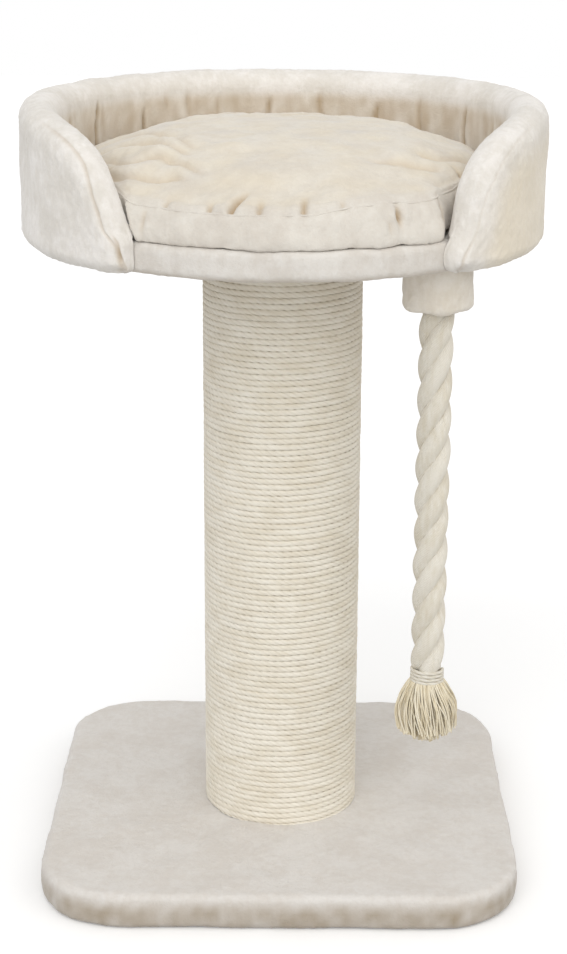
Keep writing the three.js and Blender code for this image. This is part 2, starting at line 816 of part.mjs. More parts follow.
function ropeBlockCover() {
  const facets = LARGE_FACETS / 2;
  const skin = softDisc(BLOCK_RADIUS, BLOCK_LOW, blockTop + BLOCK_EDGE, BLOCK_EDGE, facets);
  return cut(
    skin,
    cylinder(BLOCK_RADIUS * 2, blockTop, blockTop + BLOCK_EDGE + PAST),
    cylinder(BLOCK_RADIUS - PLUSH, BLOCK_LOW + PLUSH, blockTop + PAST, facets),
    cylinder(ropeBore, BLOCK_LOW - PAST, BLOCK_LOW + PLUSH + PAST, ROPE_SIDES * 2),
  );
}

function ropeRoot() {
  const end = ropeLength(ROPE_RADIUS, BLOCK_LOW + GAP, BLOCK_BORE_TOP - GAP);
  return cut(end, pinAlongX(PIN_RADIUS + GAP, BLOCK_RADIUS));
}

// A stretch of rope with a round upper end that turns about its own middle.
function hungRope(pivot, low) {
  const dome = new THREE.SphereGeometry(ROPE_RADIUS - GAP, ROPE_SIDES, 8).rotateX(Math.PI / 2);
  return joined(ropeLength(ROPE_RADIUS, low, pivot), dome.translate(0, 0, pivot));
}

function ropeTassel() {
  const top = ROPE_LOW - GAP;
  const lobes = ROPE_SIDES;
  const spread = (t) => ROPE_RADIUS - 1 + (TASSEL_RADIUS - ROPE_RADIUS) * t ** 1.4;
  const rings = [0, 0.3, 0.6, 0.85, 1].map((t) => {
    const points = [];
    for (let j = 0; j < lobes * 2; j += 1) {
      const flute = j % 2 === 0 ? 1 : 1 - TASSEL_FLUTE * t;
      const height = top + (TASSEL_LOW - top) * t;
      points.push(onCylinder(spread(t) * flute, (j / lobes) * Math.PI, height));
    }
    return points;
  });
  const outline = rings[0].map((point) => new THREE.Vector2(point.x, point.y));
  return loft(rings, outline);
}

// The rope's parts turn about two points, one under the block and one below the neck.
const upperPivot = BLOCK_LOW - ROPE_RADIUS;
const neckLow = upperPivot - NECK_LENGTH;
const lowerPivot = neckLow - ROPE_RADIUS;
console.log(`rope pivots at heights ${upperPivot} and ${lowerPivot} mm`);

// ---- Assembly ----

const base = group(0, 0,
  piece('base_board', baseBoard(), 'board'),
  piece('base_cover', baseCover(), 'plush'),
);

const boltSeat = boardLow + BOLT_POCKET - WASHER_THICKNESS - 2 * GAP;
const lowerNutFace = postLow + DISC_THICKNESS;
const upperNutFace = postHigh - DISC_THICKNESS;
const upperSeat = platformBoardHigh - BOLT_POCKET + WASHER_THICKNESS + 2 * GAP;
const lowerLength = lowerNutFace - boltSeat + BOLT_REACH;
const upperLength = upperSeat - upperNutFace + BOLT_REACH;

const post = group(0, AXIS_Y,
  piece('post_tube', postTube(), 'cardboard'),
  piece('post_bottom_disc', postDisc(postLow), 'board'),
  piece('post_top_disc', postDisc(postHigh - DISC_THICKNESS), 'board'),
  piece('sisal_winding', sisalWinding(postLow, postHigh), 'sisal'),
  ...fastenerSet('base', boltSeat, lowerNutFace, lowerLength, false),
  ...fastenerSet('platform', upperSeat, upperNutFace, upperLength, true),
);

const bed = group(0, AXIS_Y,
  piece('platform_board', platformBoard(), 'board'),
  piece('platform_cover', platformCover(), 'plush'),
  piece('wall_board', wallBoard(), 'board'),
  piece('wall_foam', wallFoam(), 'foam'),
  piece('wall_cover', wallCover(), 'plush'),
  ...wallScrews(),
  piece('cushion_cover', cushionCover(), 'plush'),
  piece('cushion_filling', cushionFilling(), 'foam'),
);

blockScrewPositions().forEach(([x, y], i) => {
  const mesh = piece(`rope_block_screw_${i + 1}`, screw(BLOCK_SCREW_LENGTH), 'steel');
  mesh.position.set(x, y, platformBoardHigh - SCREW_HEAD_HEIGHT - GAP);
  bed.add(mesh);
});

const rope = group(ROPE_X, ROPE_Y,
  piece('rope_block', ropeBlock(), 'board'),
  piece('rope_block_cover', ropeBlockCover(), 'plush'),
  piece('rope_root', ropeRoot(), 'cotton'),
  piece('rope_pin', pinAlongX(PIN_RADIUS, blockCore - PAST), 'board'),
  piece('rope_neck', hungRope(upperPivot, neckLow), 'cotton'),
  piece('rope', hungRope(lowerPivot - GAP, ROPE_LOW), 'cotton'),
  piece('rope_binding', twineBinding(ROPE_LOW), 'cotton'),
  piece('rope_tassel', ropeTassel(), 'cotton'),
);

const model = new THREE.Group();
model.add(base, post, bed, rope);

export default model;
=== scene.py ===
"""A cat scratching post with a round padded bed, dressed in plush, sisal and cotton rope.

Lengths are in metres, Z is up and the front faces -Y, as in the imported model.
"""

import json
import logging
import math
from dataclasses import dataclass
from enum import Enum
from typing import Callable, Union

import bpy
import numpy as np
from mathutils import Matrix


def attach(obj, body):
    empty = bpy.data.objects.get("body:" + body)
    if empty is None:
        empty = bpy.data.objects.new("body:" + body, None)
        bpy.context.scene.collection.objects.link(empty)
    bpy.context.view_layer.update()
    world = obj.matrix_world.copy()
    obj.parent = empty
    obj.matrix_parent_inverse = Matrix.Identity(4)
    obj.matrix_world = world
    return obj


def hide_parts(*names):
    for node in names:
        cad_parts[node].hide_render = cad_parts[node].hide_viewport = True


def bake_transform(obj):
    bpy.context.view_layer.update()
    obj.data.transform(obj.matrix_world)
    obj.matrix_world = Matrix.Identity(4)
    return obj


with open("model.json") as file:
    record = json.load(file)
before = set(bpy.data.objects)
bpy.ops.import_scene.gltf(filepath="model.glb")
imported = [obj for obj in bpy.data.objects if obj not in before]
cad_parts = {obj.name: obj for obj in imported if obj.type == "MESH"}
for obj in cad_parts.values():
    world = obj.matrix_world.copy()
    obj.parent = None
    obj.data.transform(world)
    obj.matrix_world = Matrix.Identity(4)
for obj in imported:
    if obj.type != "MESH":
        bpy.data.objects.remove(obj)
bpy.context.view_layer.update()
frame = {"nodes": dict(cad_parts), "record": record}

LOG = logging.getLogger("scratching_post")
BED_AXIS = np.array([0.0, -0.010])
ROPE_AXIS = np.array([0.183, -0.150])
TAU = 2.0 * math.pi
SHARPEST = math.radians(60)
STEPS_PER_CORNER = 24
PAIRS_AT_ONCE = 4_000_000

Colour = tuple[float, float, float, float]
Rows = tuple[tuple[float, ...], ...]
WHITE: Colour = (1.0, 1.0, 1.0, 1.0)
BLACK: Colour = (0.0, 0.0, 0.0, 1.0)


class Slot(Enum):
    """The record's material slots."""

    PLUSH = "plush"
    SISAL = "sisal"
    COTTON = "cotton"
    BOARD = "board"
    CARDBOARD = "cardboard"
    FOAM = "foam"
    STEEL = "steel"


def colour(code: str) -> Colour:
    """Turns a hex colour into the linear values that shaders take.

    Args:
        code: Six hex digits, red first.

    Returns:
        Red, green, blue and alpha.
    """
    values = [int(code[i : i + 2], 16) / 255 for i in (0, 2, 4)]
    linear = [v / 12.92 if v <= 0.04045 else ((v + 0.055) / 1.055) ** 2.4 for v in values]
    return (*linear, 1.0)


# ---------------------------------------------------------------- shaders


class Wire:
    """An output socket on which Python's operators add Math nodes."""

    def __init__(self, recipe: "Recipe", socket: bpy.types.NodeSocket | None) -> None:
        """Keeps the recipe and the socket."""
        self.recipe = recipe
        self.socket = socket

    def maths(self, operation: str, first: "Value", second: "Value") -> "Wire":
        """Adds one Math node and returns its result."""
        return self.recipe.node("ShaderNodeMath", {"operation": operation}, {0: first, 1: second})

    def __add__(self, other: "Value") -> "Wire":
        """Sum."""
        return self.maths("ADD", self, other)

    def __radd__(self, other: "Value") -> "Wire":
        """Sum with a number on the left."""
        return self.maths("ADD", other, self)

    def __sub__(self, other: "Value") -> "Wire":
        """Difference."""
        return self.maths("SUBTRACT", self, other)

    def __rsub__(self, other: "Value") -> "Wire":
        """Difference with a number on the left."""
        return self.maths("SUBTRACT", other, self)

    def __mul__(self, other: "Value") -> "Wire":
        """Product."""
        return self.maths("MULTIPLY", self, other)

    def __rmul__(self, other: "Value") -> "Wire":
        """Product with a number on the left."""
        return self.maths("MULTIPLY", other, self)


Value = Union[Wire, int, float, tuple]


class Recipe:
    """A material or a world that is being put together from nodes."""

    def __init__(self, holder: bpy.types.Material | bpy.types.World) -> None:
        """Starts with an empty node tree."""
        self.holder = holder
        holder.use_nodes = True
        self.tree = holder.node_tree
        self.tree.nodes.clear()

    def node(
        self,
        kind: str,
        settings: dict | None = None,
        inputs: dict | None = None,
        output: int | str = 0,
    ) -> Wire:
        """Adds a node.

        Args:
            kind: The node's type.
            settings: Its own settings.
            inputs: Values or wires by the socket's name or number.
            output: The name or number of the output wanted.

        Returns:
            That output, or an empty wire from a node that has none.
        """
        made = self.tree.nodes.new(kind)
        for key, value in (settings or {}).items():
            setattr(made, key, value)
        for key, value in (inputs or {}).items():
            if isinstance(value, Wire):
                self.tree.links.new(value.socket, made.inputs[key])
            else:
                made.inputs[key].default_value = value
        return Wire(self, made.outputs[output] if made.outputs else None)

    def place(self) -> Wire:
        """The point in the object's own space."""
        return self.node("ShaderNodeTexCoord", output="Object")

    def attribute(self, name: str) -> Wire:
        """A number stored on the mesh."""
        return self.node("ShaderNodeAttribute", {"attribute_name": name}, output="Fac")

    def noise(self, at: Wire, size: float, detail: float = 2.0, rough: float = 0.5) -> Wire:
        """Soft noise with features of about that size, from 0 to 1."""
        inputs = {"Vector": at, "Scale": 1.0 / size, "Detail": detail, "Roughness": rough}
        return self.node("ShaderNodeTexNoise", {"noise_dimensions": "3D"}, inputs)

    def spread(self, value: Wire, low: float, high: float) -> Wire:
        """Stretches low..high to 0..1 and cuts off the rest."""
        return self.node(
            "ShaderNodeMapRange",
            {"clamp": True, "interpolation_type": "SMOOTHSTEP"},
            {"Value": value, "From Min": low, "From Max": high},
        )

    def mix(self, factor: Value, first: Value, second: Value) -> Wire:
        """Mixes two colours."""
        return self.node(
            "ShaderNodeMix",
            {"data_type": "RGBA", "blend_type": "MIX", "clamp_factor": True},
            {"Factor": factor, 6: first, 7: second},
            output=2,
        )

    def stretched(self, at: Wire, scale: tuple[float, float, float]) -> Wire:
        """Scales a point along its three axes."""
        return self.node("ShaderNodeVectorMath", {"operation": "MULTIPLY"}, {0: at, 1: scale})

    def bump(self, height: Wire, distance: float, strength: float) -> Wire:
        """A bumped normal."""
        inputs = {"Height": height, "Distance": distance, "Strength": strength}
        return self.node("ShaderNodeBump", {}, inputs)

    def finish(self, **sockets: Value) -> bpy.types.Material:
        """Connects the surface shader.

        Args:
            sockets: Values or wires by the socket's name, with _ for a space.

        Returns:
            The finished material.
        """
        inputs = {name.replace("_", " "): value for name, value in sockets.items()}
        surface = self.node("ShaderNodeBsdfPrincipled", {}, inputs)
        self.node("ShaderNodeOutputMaterial", {}, {"Surface": surface})
        return self.holder


@dataclass(frozen=True)
class PlushFinish:
    """Short, dense pile, brushed into lighter and darker patches, with tan painted shade between
    the tufts and where it is folded.
    """

    name: str
    light: str = "ece6dc"
    shade: str = "dfd7c9"
    warm: str = "e4d6ba"
    # Colour of the painted shade, used in creases and between the tufts.
    painted_shade: str = "bda583"
    patch: float = 0.055
    tuft: float = 0.0042
    fibre: float = 0.0011
    relief: float = 0.0016

    def material(self) -> bpy.types.Material:
        """Builds the material.

        Returns:
            The plush.
        """
        r = Recipe(bpy.data.materials.new(self.name))
        at = r.place()
        wander = r.noise(at, self.patch * 1.8, 1.0)
        patch = r.noise(at, self.patch, 3.0, 0.55)
        brushed = r.noise(r.stretched(at, (1.0, 1.0, 0.55)), self.patch / 5, 3.0, 0.6)
        tuft = r.noise(at, self.tuft, 2.0, 0.6)
        fibre = r.noise(at, self.fibre, 2.0, 0.7)
        tone = r.spread(patch * 0.45 + wander * 0.15 + brushed * 0.4, 0.38, 0.62)
        tuft_tops = r.spread(tuft * 0.6 + fibre * 0.4, 0.3, 0.7)
        body = r.mix(tone, colour(self.shade), colour(self.light))
        # Painted shade between the tufts, where the pile is low.
        deep = r.mix(0.5, colour(self.shade), colour(self.painted_shade))
        body = r.mix((1 - tuft_tops) * 0.16, body, deep)
        body = r.mix(r.attribute("warm"), body, colour(self.warm))
        # Painted shade where the mesh stores it: in creases, seams and shaded faces.
        body = r.mix(r.attribute("painted_shade"), body, colour(self.painted_shade))
        height = tuft * 0.65 + fibre * 0.35 + brushed * 0.5
        return r.finish(
            Base_Color=body,
            Roughness=0.95,
            Specular_IOR_Level=0.15,
            Sheen_Weight=0.35,
            Sheen_Roughness=0.45,
            Normal=r.bump(height, self.relief, 0.75),
        )


@dataclass(frozen=True)
class SisalFinish:
    """Bleached, matt sisal rope with hard fibres along its plies."""

    name: str = "sisal"
    light: str = "f2ecdf"
    shade: str = "e5dcca"
    groove_shade: str = "a39473"

    def material(self) -> bpy.types.Material:
        """Builds the material.

        Returns:
            The sisal.
        """
        r = Recipe(bpy.data.materials.new(self.name))
        at = r.place()
        along, around = r.attribute("along"), r.attribute("around")
        lines = r.node("ShaderNodeCombineXYZ", {}, {0: along * 60, 1: around, 2: along * 3})
        fibre = r.node("ShaderNodeTexNoise", {}, {"Vector": lines, "Scale": 1.0, "Detail": 2.0})
        streak = r.noise(r.stretched(at, (0.25, 0.25, 1.0)), 0.009, 2.0)
        patch = r.noise(at, 0.09, 2.0)
        tone = r.spread(streak * 0.45 + patch * 0.25 + fibre * 0.3, 0.36, 0.62)
        body = r.mix(tone, colour(self.shade), colour(self.light))
        # Painted shade in the grooves between plies and turns, where the mesh stores it.
        body = r.mix(r.attribute("painted_shade"), body, colour(self.groove_shade))
        return r.finish(
            Base_Color=body,
            Roughness=0.85,
            Specular_IOR_Level=0.3,
            Sheen_Weight=0.1,
            Normal=r.bump(fibre, 0.0012, 0.6),
        )


@dataclass(frozen=True)
class CottonFinish:
    """Natural cotton yarn, smooth and slightly lustrous, with olive painted shade in its creases.
    """

    name: str = "cotton"
    light: str = "e2ddd2"
    shade: str = "d4ccbb"
    groove_shade: str = "a59662"
    yarn: float = 0.0009

    def material(self) -> bpy.types.Material:
        """Builds the material.

        Returns:
            The cotton.
        """
        r = Recipe(bpy.data.materials.new(self.name))
        at = r.place()
        fibre = r.noise(r.stretched(at, (1.0, 1.0, 0.22)), self.yarn, 2.0, 0.6)
        streak = r.noise(r.stretched(at, (1.0, 1.0, 0.2)), 0.006, 2.0)
        tone = r.spread(streak * 0.55 + r.attribute("tone") * 0.25 + fibre * 0.2, 0.3, 0.65)
        body = r.mix(tone, colour(self.shade), colour(self.light))
        # Painted olive shade where the mesh stores it: creases, hidden sides and yarns further in.
        body = r.mix(r.attribute("painted_shade"), body, colour(self.groove_shade))
        return r.finish(
            Base_Color=body,
            Roughness=0.8,
            Specular_IOR_Level=0.35,
            Sheen_Weight=0.15,
            Normal=r.bump(fibre, 0.0006, 0.5),
        )


@dataclass(frozen=True)
class ChipFinish:
    """Pressed board, cardboard or padding: flakes or fibres in two tones."""

    name: str
    light: str
    shade: str
    flake: float
    stretch: tuple[float, float, float] = (1.0, 1.0, 1.0)

    def material(self) -> bpy.types.Material:
        """Builds the material.

        Returns:
            The board, cardboard or padding.
        """
        r = Recipe(bpy.data.materials.new(self.name))
        at = r.stretched(r.place(), self.stretch)
        cells = {"Vector": at, "Scale": 1.0 / self.flake}
        flake = r.node("ShaderNodeTexVoronoi", {"feature": "F1"}, cells, output="Color")
        grain = r.noise(at, self.flake / 3, 3.0, 0.6)
        chips = r.node("ShaderNodeSeparateColor", {}, {"Color": flake})
        tone = r.spread(chips * 0.5 + grain * 0.5, 0.25, 0.75)
        return r.finish(
            Base_Color=r.mix(tone, colour(self.shade), colour(self.light)),
            Roughness=0.75,
            Normal=r.bump(tone, 0.0004, 0.4),
        )


@dataclass(frozen=True)
class SteelFinish:
    """Zinc-plated steel with fine handling marks."""

    name: str = "zinc_steel"
    light: str = "c6c8ca"
    shade: str = "8f9295"

    def material(self) -> bpy.types.Material:
        """Builds the material.

        Returns:
            The steel.
        """
        r = Recipe(bpy.data.materials.new(self.name))
        cloud = r.noise(r.place(), 0.003, 4.0, 0.6)
        return r.finish(
            Base_Color=r.mix(r.spread(cloud, 0.3, 0.7), colour(self.shade), colour(self.light)),
            Metallic=0.9,
            Roughness=cloud * 0.3 + 0.25,
        )


# ---------------------------------------------------------------- meshes


@dataclass(frozen=True)
class Waves:
    """A smooth random field made of plane waves, about -1 to 1."""

    shortest: float
    longest: float
    seed: int
    count: int = 32

    def at(self, points: np.ndarray) -> np.ndarray:
        """Values of the field.

        Args:
            points: Rows of three coordinates.

        Returns:
            One value for each row.
        """
        rng = np.random.default_rng(self.seed)
        ways = rng.normal(size=(self.count, 3))
        ways /= np.linalg.norm(ways, axis=1)[:, None]
        span = math.log(self.longest / self.shortest)
        lengths = self.shortest * np.exp(rng.uniform(0, span, self.count))
        phases = rng.uniform(0, TAU, self.count)
        total = np.zeros(len(points))
        for way, length, phase in zip(ways, lengths, phases):
            total += np.sin(points @ way * (TAU / length) + phase)
        return total / math.sqrt(self.count)


@dataclass(frozen=True)
class Pile:
    """The broad unevenness and the tufts of a plush surface."""

    broad: Waves
    tufts: Waves
    swell: float
    tuft: float = 0.0003

    def at(self, points: np.ndarray) -> np.ndarray:
        """Height of the pile at the points."""
        return self.swell * self.broad.at(points) + self.tuft * self.tufts.at(points)


def skin(
    name: str, rings: np.ndarray, around: bool, caps: bool = False, back: bool = False
) -> bpy.types.Object:
    """Makes a mesh from rows of points.

    Args:
        name: The piece's name.
        rings: An array of rows, columns and three coordinates.
        around: Whether each row closes on itself.
        caps: Whether the first and last row are closed with one face each.
        back: Whether the faces are turned over.

    Returns:
        The new object, shaded smooth.
    """
    rows, columns = rings.shape[:2]
    grid = np.arange(rows * columns).reshape(rows, columns)
    left = grid if around else grid[:, :-1]
    right = np.roll(grid, -1, axis=1) if around else grid[:, 1:]
    quads = np.stack([left[:-1], right[:-1], right[1:], left[1:]], axis=-1).reshape(-1, 4)
    faces = quads[:, ::-1].tolist() if back else quads.tolist()
    if caps:
        ends = [grid[0, ::-1].tolist(), grid[-1].tolist()]
        faces += [end[::-1] for end in ends] if back else ends
    mesh = bpy.data.meshes.new(name)
    mesh.from_pydata(rings.reshape(-1, 3).tolist(), [], faces)
    mesh.polygons.foreach_set("use_smooth", np.ones(len(faces), bool))
    mesh.update()
    if caps:
        mesh.set_sharp_from_angle(angle=SHARPEST)
    made = bpy.data.objects.new(name, mesh)
    bpy.context.scene.collection.objects.link(made)
    return made


def joined(name: str, parts: list[bpy.types.Object]) -> bpy.types.Object:
    """Joins objects into one.

    Args:
        name: The name of the whole.
        parts: The objects.

    Returns:
        The joined object.
    """
    for other in bpy.context.selected_objects:
        other.select_set(False)
    for part in parts:
        part.select_set(True)
    bpy.context.view_layer.objects.active = parts[0]
    bpy.ops.object.join()
    parts[0].name = name
    parts[0].data.name = name
    return parts[0]


def read_vectors(piece: bpy.types.Object, field: str) -> np.ndarray:
    """Reads a vector from each vertex.

    Args:
        piece: The piece.
        field: The vector's name on a vertex.

    Returns:
        Rows of three numbers.
    """
    flat = np.zeros(len(piece.data.vertices) * 3, np.float32)
    piece.data.vertices.foreach_get(field, flat)
    return flat.reshape(-1, 3).astype(float)


def points_of(piece: bpy.types.Object) -> np.ndarray:
    """The piece's vertices."""
    return read_vectors(piece, "co")


def normals_of(piece: bpy.types.Object) -> np.ndarray:
    """The piece's vertex normals."""
    return read_vectors(piece, "normal")


def place_points(piece: bpy.types.Object, points: np.ndarray) -> None:
    """Moves the piece's vertices to the points."""
    piece.data.vertices.foreach_set("co", points.astype(np.float32).ravel())
    piece.data.update()


def push(piece: bpy.types.Object, depth: Callable[[np.ndarray], np.ndarray]) -> None:
    """Moves each vertex along its normal by the distance that depth gives for its point."""
    points = points_of(piece)
    place_points(piece, points + normals_of(piece) * depth(points)[:, None])


def store(piece: bpy.types.Object, name: str, values: np.ndarray) -> None:
    """Stores one number on each vertex."""
    layer = piece.data.attributes.new(name, "FLOAT", "POINT")
    layer.data.foreach_set("value", np.asarray(values, np.float32).ravel())


def settle(piece: bpy.types.Object) -> bpy.types.Object:
    """Applies the piece's modifiers.

    Args:
        piece: The piece.

    Returns:
        The same piece with its new mesh.
    """
    graph = bpy.context.evaluated_depsgraph_get()
    mesh = bpy.data.meshes.new_from_object(piece.evaluated_get(graph))
    piece.modifiers.clear()
    piece.data = mesh
    mesh.name = piece.name
    return piece


def thicken(piece: bpy.types.Object, thickness: float) -> bpy.types.Object:
    """Gives a sheet its thickness on its inner side.

    Args:
        piece: The sheet.
        thickness: The thickness.

    Returns:
        The same piece, now closed.
    """
    shell = piece.modifiers.new("thickness", "SOLIDIFY")
    shell.thickness = thickness
    shell.offset = -1.0
    return settle(piece)


def bell(value: np.ndarray, width: float) -> np.ndarray:
    """A soft bump of height 1 about 0."""
    return np.exp(-((value / width) ** 2))


def ramp(value: np.ndarray, low: float, high: float) -> np.ndarray:
    """Rises smoothly from 0 at low to 1 at high."""
    t = np.clip((value - low) / (high - low), 0, 1)
    return t * t * (3 - 2 * t)


def smooth_line(corners: np.ndarray, count: int) -> np.ndarray:
    """Draws a smooth line through the corners.

    Args:
        corners: Rows of coordinates, at least three of them.
        count: How many points to return.

    Returns:
        Points spaced evenly along the line.
    """
    padded = np.vstack([2 * corners[0] - corners[1], corners, 2 * corners[-1] - corners[-2]])
    steps = np.linspace(0, 1, STEPS_PER_CORNER, endpoint=False)[:, None]
    fine = []
    for a, b, c, d in zip(padded, padded[1:], padded[2:], padded[3:]):
        bend = 2 * b + (c - a) * steps + (2 * a - 5 * b + 4 * c - d) * steps**2
        fine.append(0.5 * (bend + (3 * b - a - 3 * c + d) * steps**3))
    fine = np.vstack([*fine, corners[-1:]])
    length = np.concatenate([[0], np.cumsum(np.linalg.norm(np.diff(fine, axis=0), axis=1))])
    wanted = np.linspace(0, length[-1], count)
    return np.stack([np.interp(wanted, length, column) for column in fine.T], axis=1)


def distance_to_line(points: np.ndarray, line: np.ndarray) -> np.ndarray:
    """Distance of each point to the nearest point of a line, and where along it that is.

    Args:
        points: Rows of coordinates.
        line: Points of the line, close together.

    Returns:
        Two columns: the distance and the place along the line from 0 to 1.
    """
    found = []
    for part in np.array_split(points, max(1, len(points) * len(line) // PAIRS_AT_ONCE)):
        gap = ((part[:, None, :] - line[None]) ** 2).sum(-1)
        nearest = gap.argmin(1)
        found.append(np.stack([np.sqrt(gap.min(1)), nearest / (len(line) - 1)], axis=1))
    return np.vstack(found)


def reach_of(points: np.ndarray, axis: np.ndarray = BED_AXIS) -> np.ndarray:
    """Distance of points from an upright axis."""
    return np.linalg.norm(points[..., :2] - axis, axis=-1)


def ring_points(
    axis: np.ndarray, radius: np.ndarray, azimuth: np.ndarray, height: np.ndarray
) -> np.ndarray:
    """Points about an upright axis.

    Args:
        axis: The axis's x and y.
        radius: Their distances from it.
        azimuth: Their angles from +X.
        height: Their heights.

    Returns:
        Their coordinates, in an array of the shape that the three make together.
    """
    x, y = axis[0] + radius * np.cos(azimuth), axis[1] + radius * np.sin(azimuth)
    return np.stack(np.broadcast_arrays(x, y, height), axis=-1)


def lathe(profile: np.ndarray, columns: int, axis: np.ndarray) -> np.ndarray:
    """Turns a profile of radius and height about an upright axis into rings for skin()."""
    angle = np.arange(columns) / columns * TAU
    return ring_points(axis, profile[:, :1], angle, profile[:, 1:])


def tube(
    line: np.ndarray, radius: np.ndarray, section: np.ndarray, first: np.ndarray, second: np.ndarray
) -> np.ndarray:
    """Lays a section round each point of a line.

    Args:
        line: Rows of coordinates.
        radius: The section's radius at each point and angle.
        section: The section's angles.
        first: The direction of angle 0 at each point.
        second: The direction of a quarter turn at each point.

    Returns:
        Rings for skin().
    """
    across = (radius * np.cos(section))[..., None] * first[:, None]
    return line[:, None] + across + (radius * np.sin(section))[..., None] * second[:, None]


def arc(centre: tuple[float, float], radius: float, start: float, end: float, count: int) -> list:
    """Points of an arc in a profile, with its angles in degrees."""
    angles = np.radians(np.linspace(start, end, count))
    return [(centre[0] + radius * math.cos(a), centre[1] + radius * math.sin(a)) for a in angles]


def run(start: tuple[float, float], end: tuple[float, float], count: int) -> list:
    """Points of a straight run in a profile, without its ends."""
    steps = np.linspace(0, 1, count + 2)[1:-1]
    return [tuple(a + (b - a) * t for a, b in zip(start, end)) for t in steps]


def front_angle(points: np.ndarray) -> np.ndarray:
    """Angle in degrees of points about the bed's axis from the front, positive to the right."""
    return np.degrees(np.arctan2(points[:, 0] - BED_AXIS[0], -(points[:, 1] - BED_AXIS[1])))


def dress(
    piece: bpy.types.Object, finish: bpy.types.Material, nodes: tuple[str, ...] = ()
) -> bpy.types.Object:
    """Gives a piece its material, and hides the CAD nodes that it stands for.

    Args:
        piece: The piece.
        finish: Its material.
        nodes: The CAD nodes that it replaces.

    Returns:
        The same piece.
    """
    piece.data.materials.clear()
    piece.data.materials.append(finish)
    if nodes:
        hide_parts(*nodes)
    LOG.info("%s: %d faces", piece.name, len(piece.data.polygons))
    return piece


# ---------------------------------------------------------------- base


@dataclass
class Base:
    """The square board base under its plush cover, which is folded in underneath."""

    half: float = 0.2992
    corner: float = 0.105
    height: float = 0.045
    hem: float = 0.040
    hem_height: float = 0.0004
    edge: float = 0.010
    bulge: float = 0.0012
    inside: float = 0.070
    top_rows: int = 56
    side_points: int = 104
    corner_points: int = 42
    cloth: float = 0.0036
    deepest: float = 0.0006
    pile: Pile = Pile(Waves(0.05, 0.22, 11), Waves(0.007, 0.016, 12, 40), 0.0009, 0.00032)
    patches: Waves = Waves(0.012, 0.05, 13)

    def outline(self, half: float, corner: float) -> np.ndarray:
        """Draws a rounded square, with the same number of points at every size.

        Args:
            half: Half its width.
            corner: Its corners' radius.

        Returns:
            Rows of x and y.
        """
        flat = half - corner
        points = []
        turn = np.linspace(0, math.pi / 2, self.corner_points, endpoint=False)
        walk = np.linspace(0, 1, self.side_points, endpoint=False)
        bend = np.stack([flat + corner * np.cos(turn), flat + corner * np.sin(turn)], 1)
        side = np.stack([flat - 2 * flat * walk, np.full_like(walk, half)], 1)
        for quarter in range(4):
            c, s = math.cos(quarter * math.pi / 2), math.sin(quarter * math.pi / 2)
            points.append(np.vstack([bend, side]) @ np.array([[c, s], [-s, c]]))
        return np.vstack(points)

    def profile(self) -> list[tuple[float, float]]:
        """Draws the cover's section.

        Returns:
            Inset from the widest line and height, from the hem underneath up to the top.
        """
        e, h, low = self.edge, self.height, self.hem_height
        rows = [(self.hem, low), *run((self.hem, low), (e, low), 5)]
        rows += [(e - x, z) for x, z in arc((0.0, e), e, -90, 0, 6)]
        for t in (0.25, 0.5, 0.75):
            rows.append((-self.bulge * math.sin(math.pi * t), e + t * (h - 2 * e)))
        return rows + [(e - x, z) for x, z in arc((0.0, h - e), e, 0, 90, 8)]

    def cover(self, finish: bpy.types.Material) -> bpy.types.Object:
        """Builds and dresses the cover.

        Args:
            finish: Its plush.

        Returns:
            The cover.
        """
        first = self.half - self.edge
        ratio = (self.corner - self.edge) / first
        sizes = [(self.half - inset, self.corner - inset, z) for inset, z in self.profile()]
        for half in np.linspace(first, self.inside, self.top_rows)[1:]:
            sizes.append((half, half * ratio, self.height))
        rows = []
        for half, corner, height in sizes:
            flat = self.outline(half, corner)
            rows.append(np.column_stack([flat, np.full(len(flat), height)]))
        piece = skin("base_cover_plush", np.array(rows), around=True)
        push(piece, lambda p: np.maximum(self.pile.at(p), -self.deepest))
        points = points_of(piece)
        points[:, 2] = np.maximum(points[:, 2], 0.0)
        place_points(piece, points)
        # Painted shade over the cover's side, patchy, fading out between 22 and 43 mm up.
        shaded = 0.62 + 0.14 * self.patches.at(points)
        store(piece, "painted_shade", shaded * (1 - ramp(points[:, 2], 0.022, 0.043)))
        thicken(piece, self.cloth)
        dress(piece, finish, ("base_cover",))
        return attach(piece, "root")


# ---------------------------------------------------------------- post


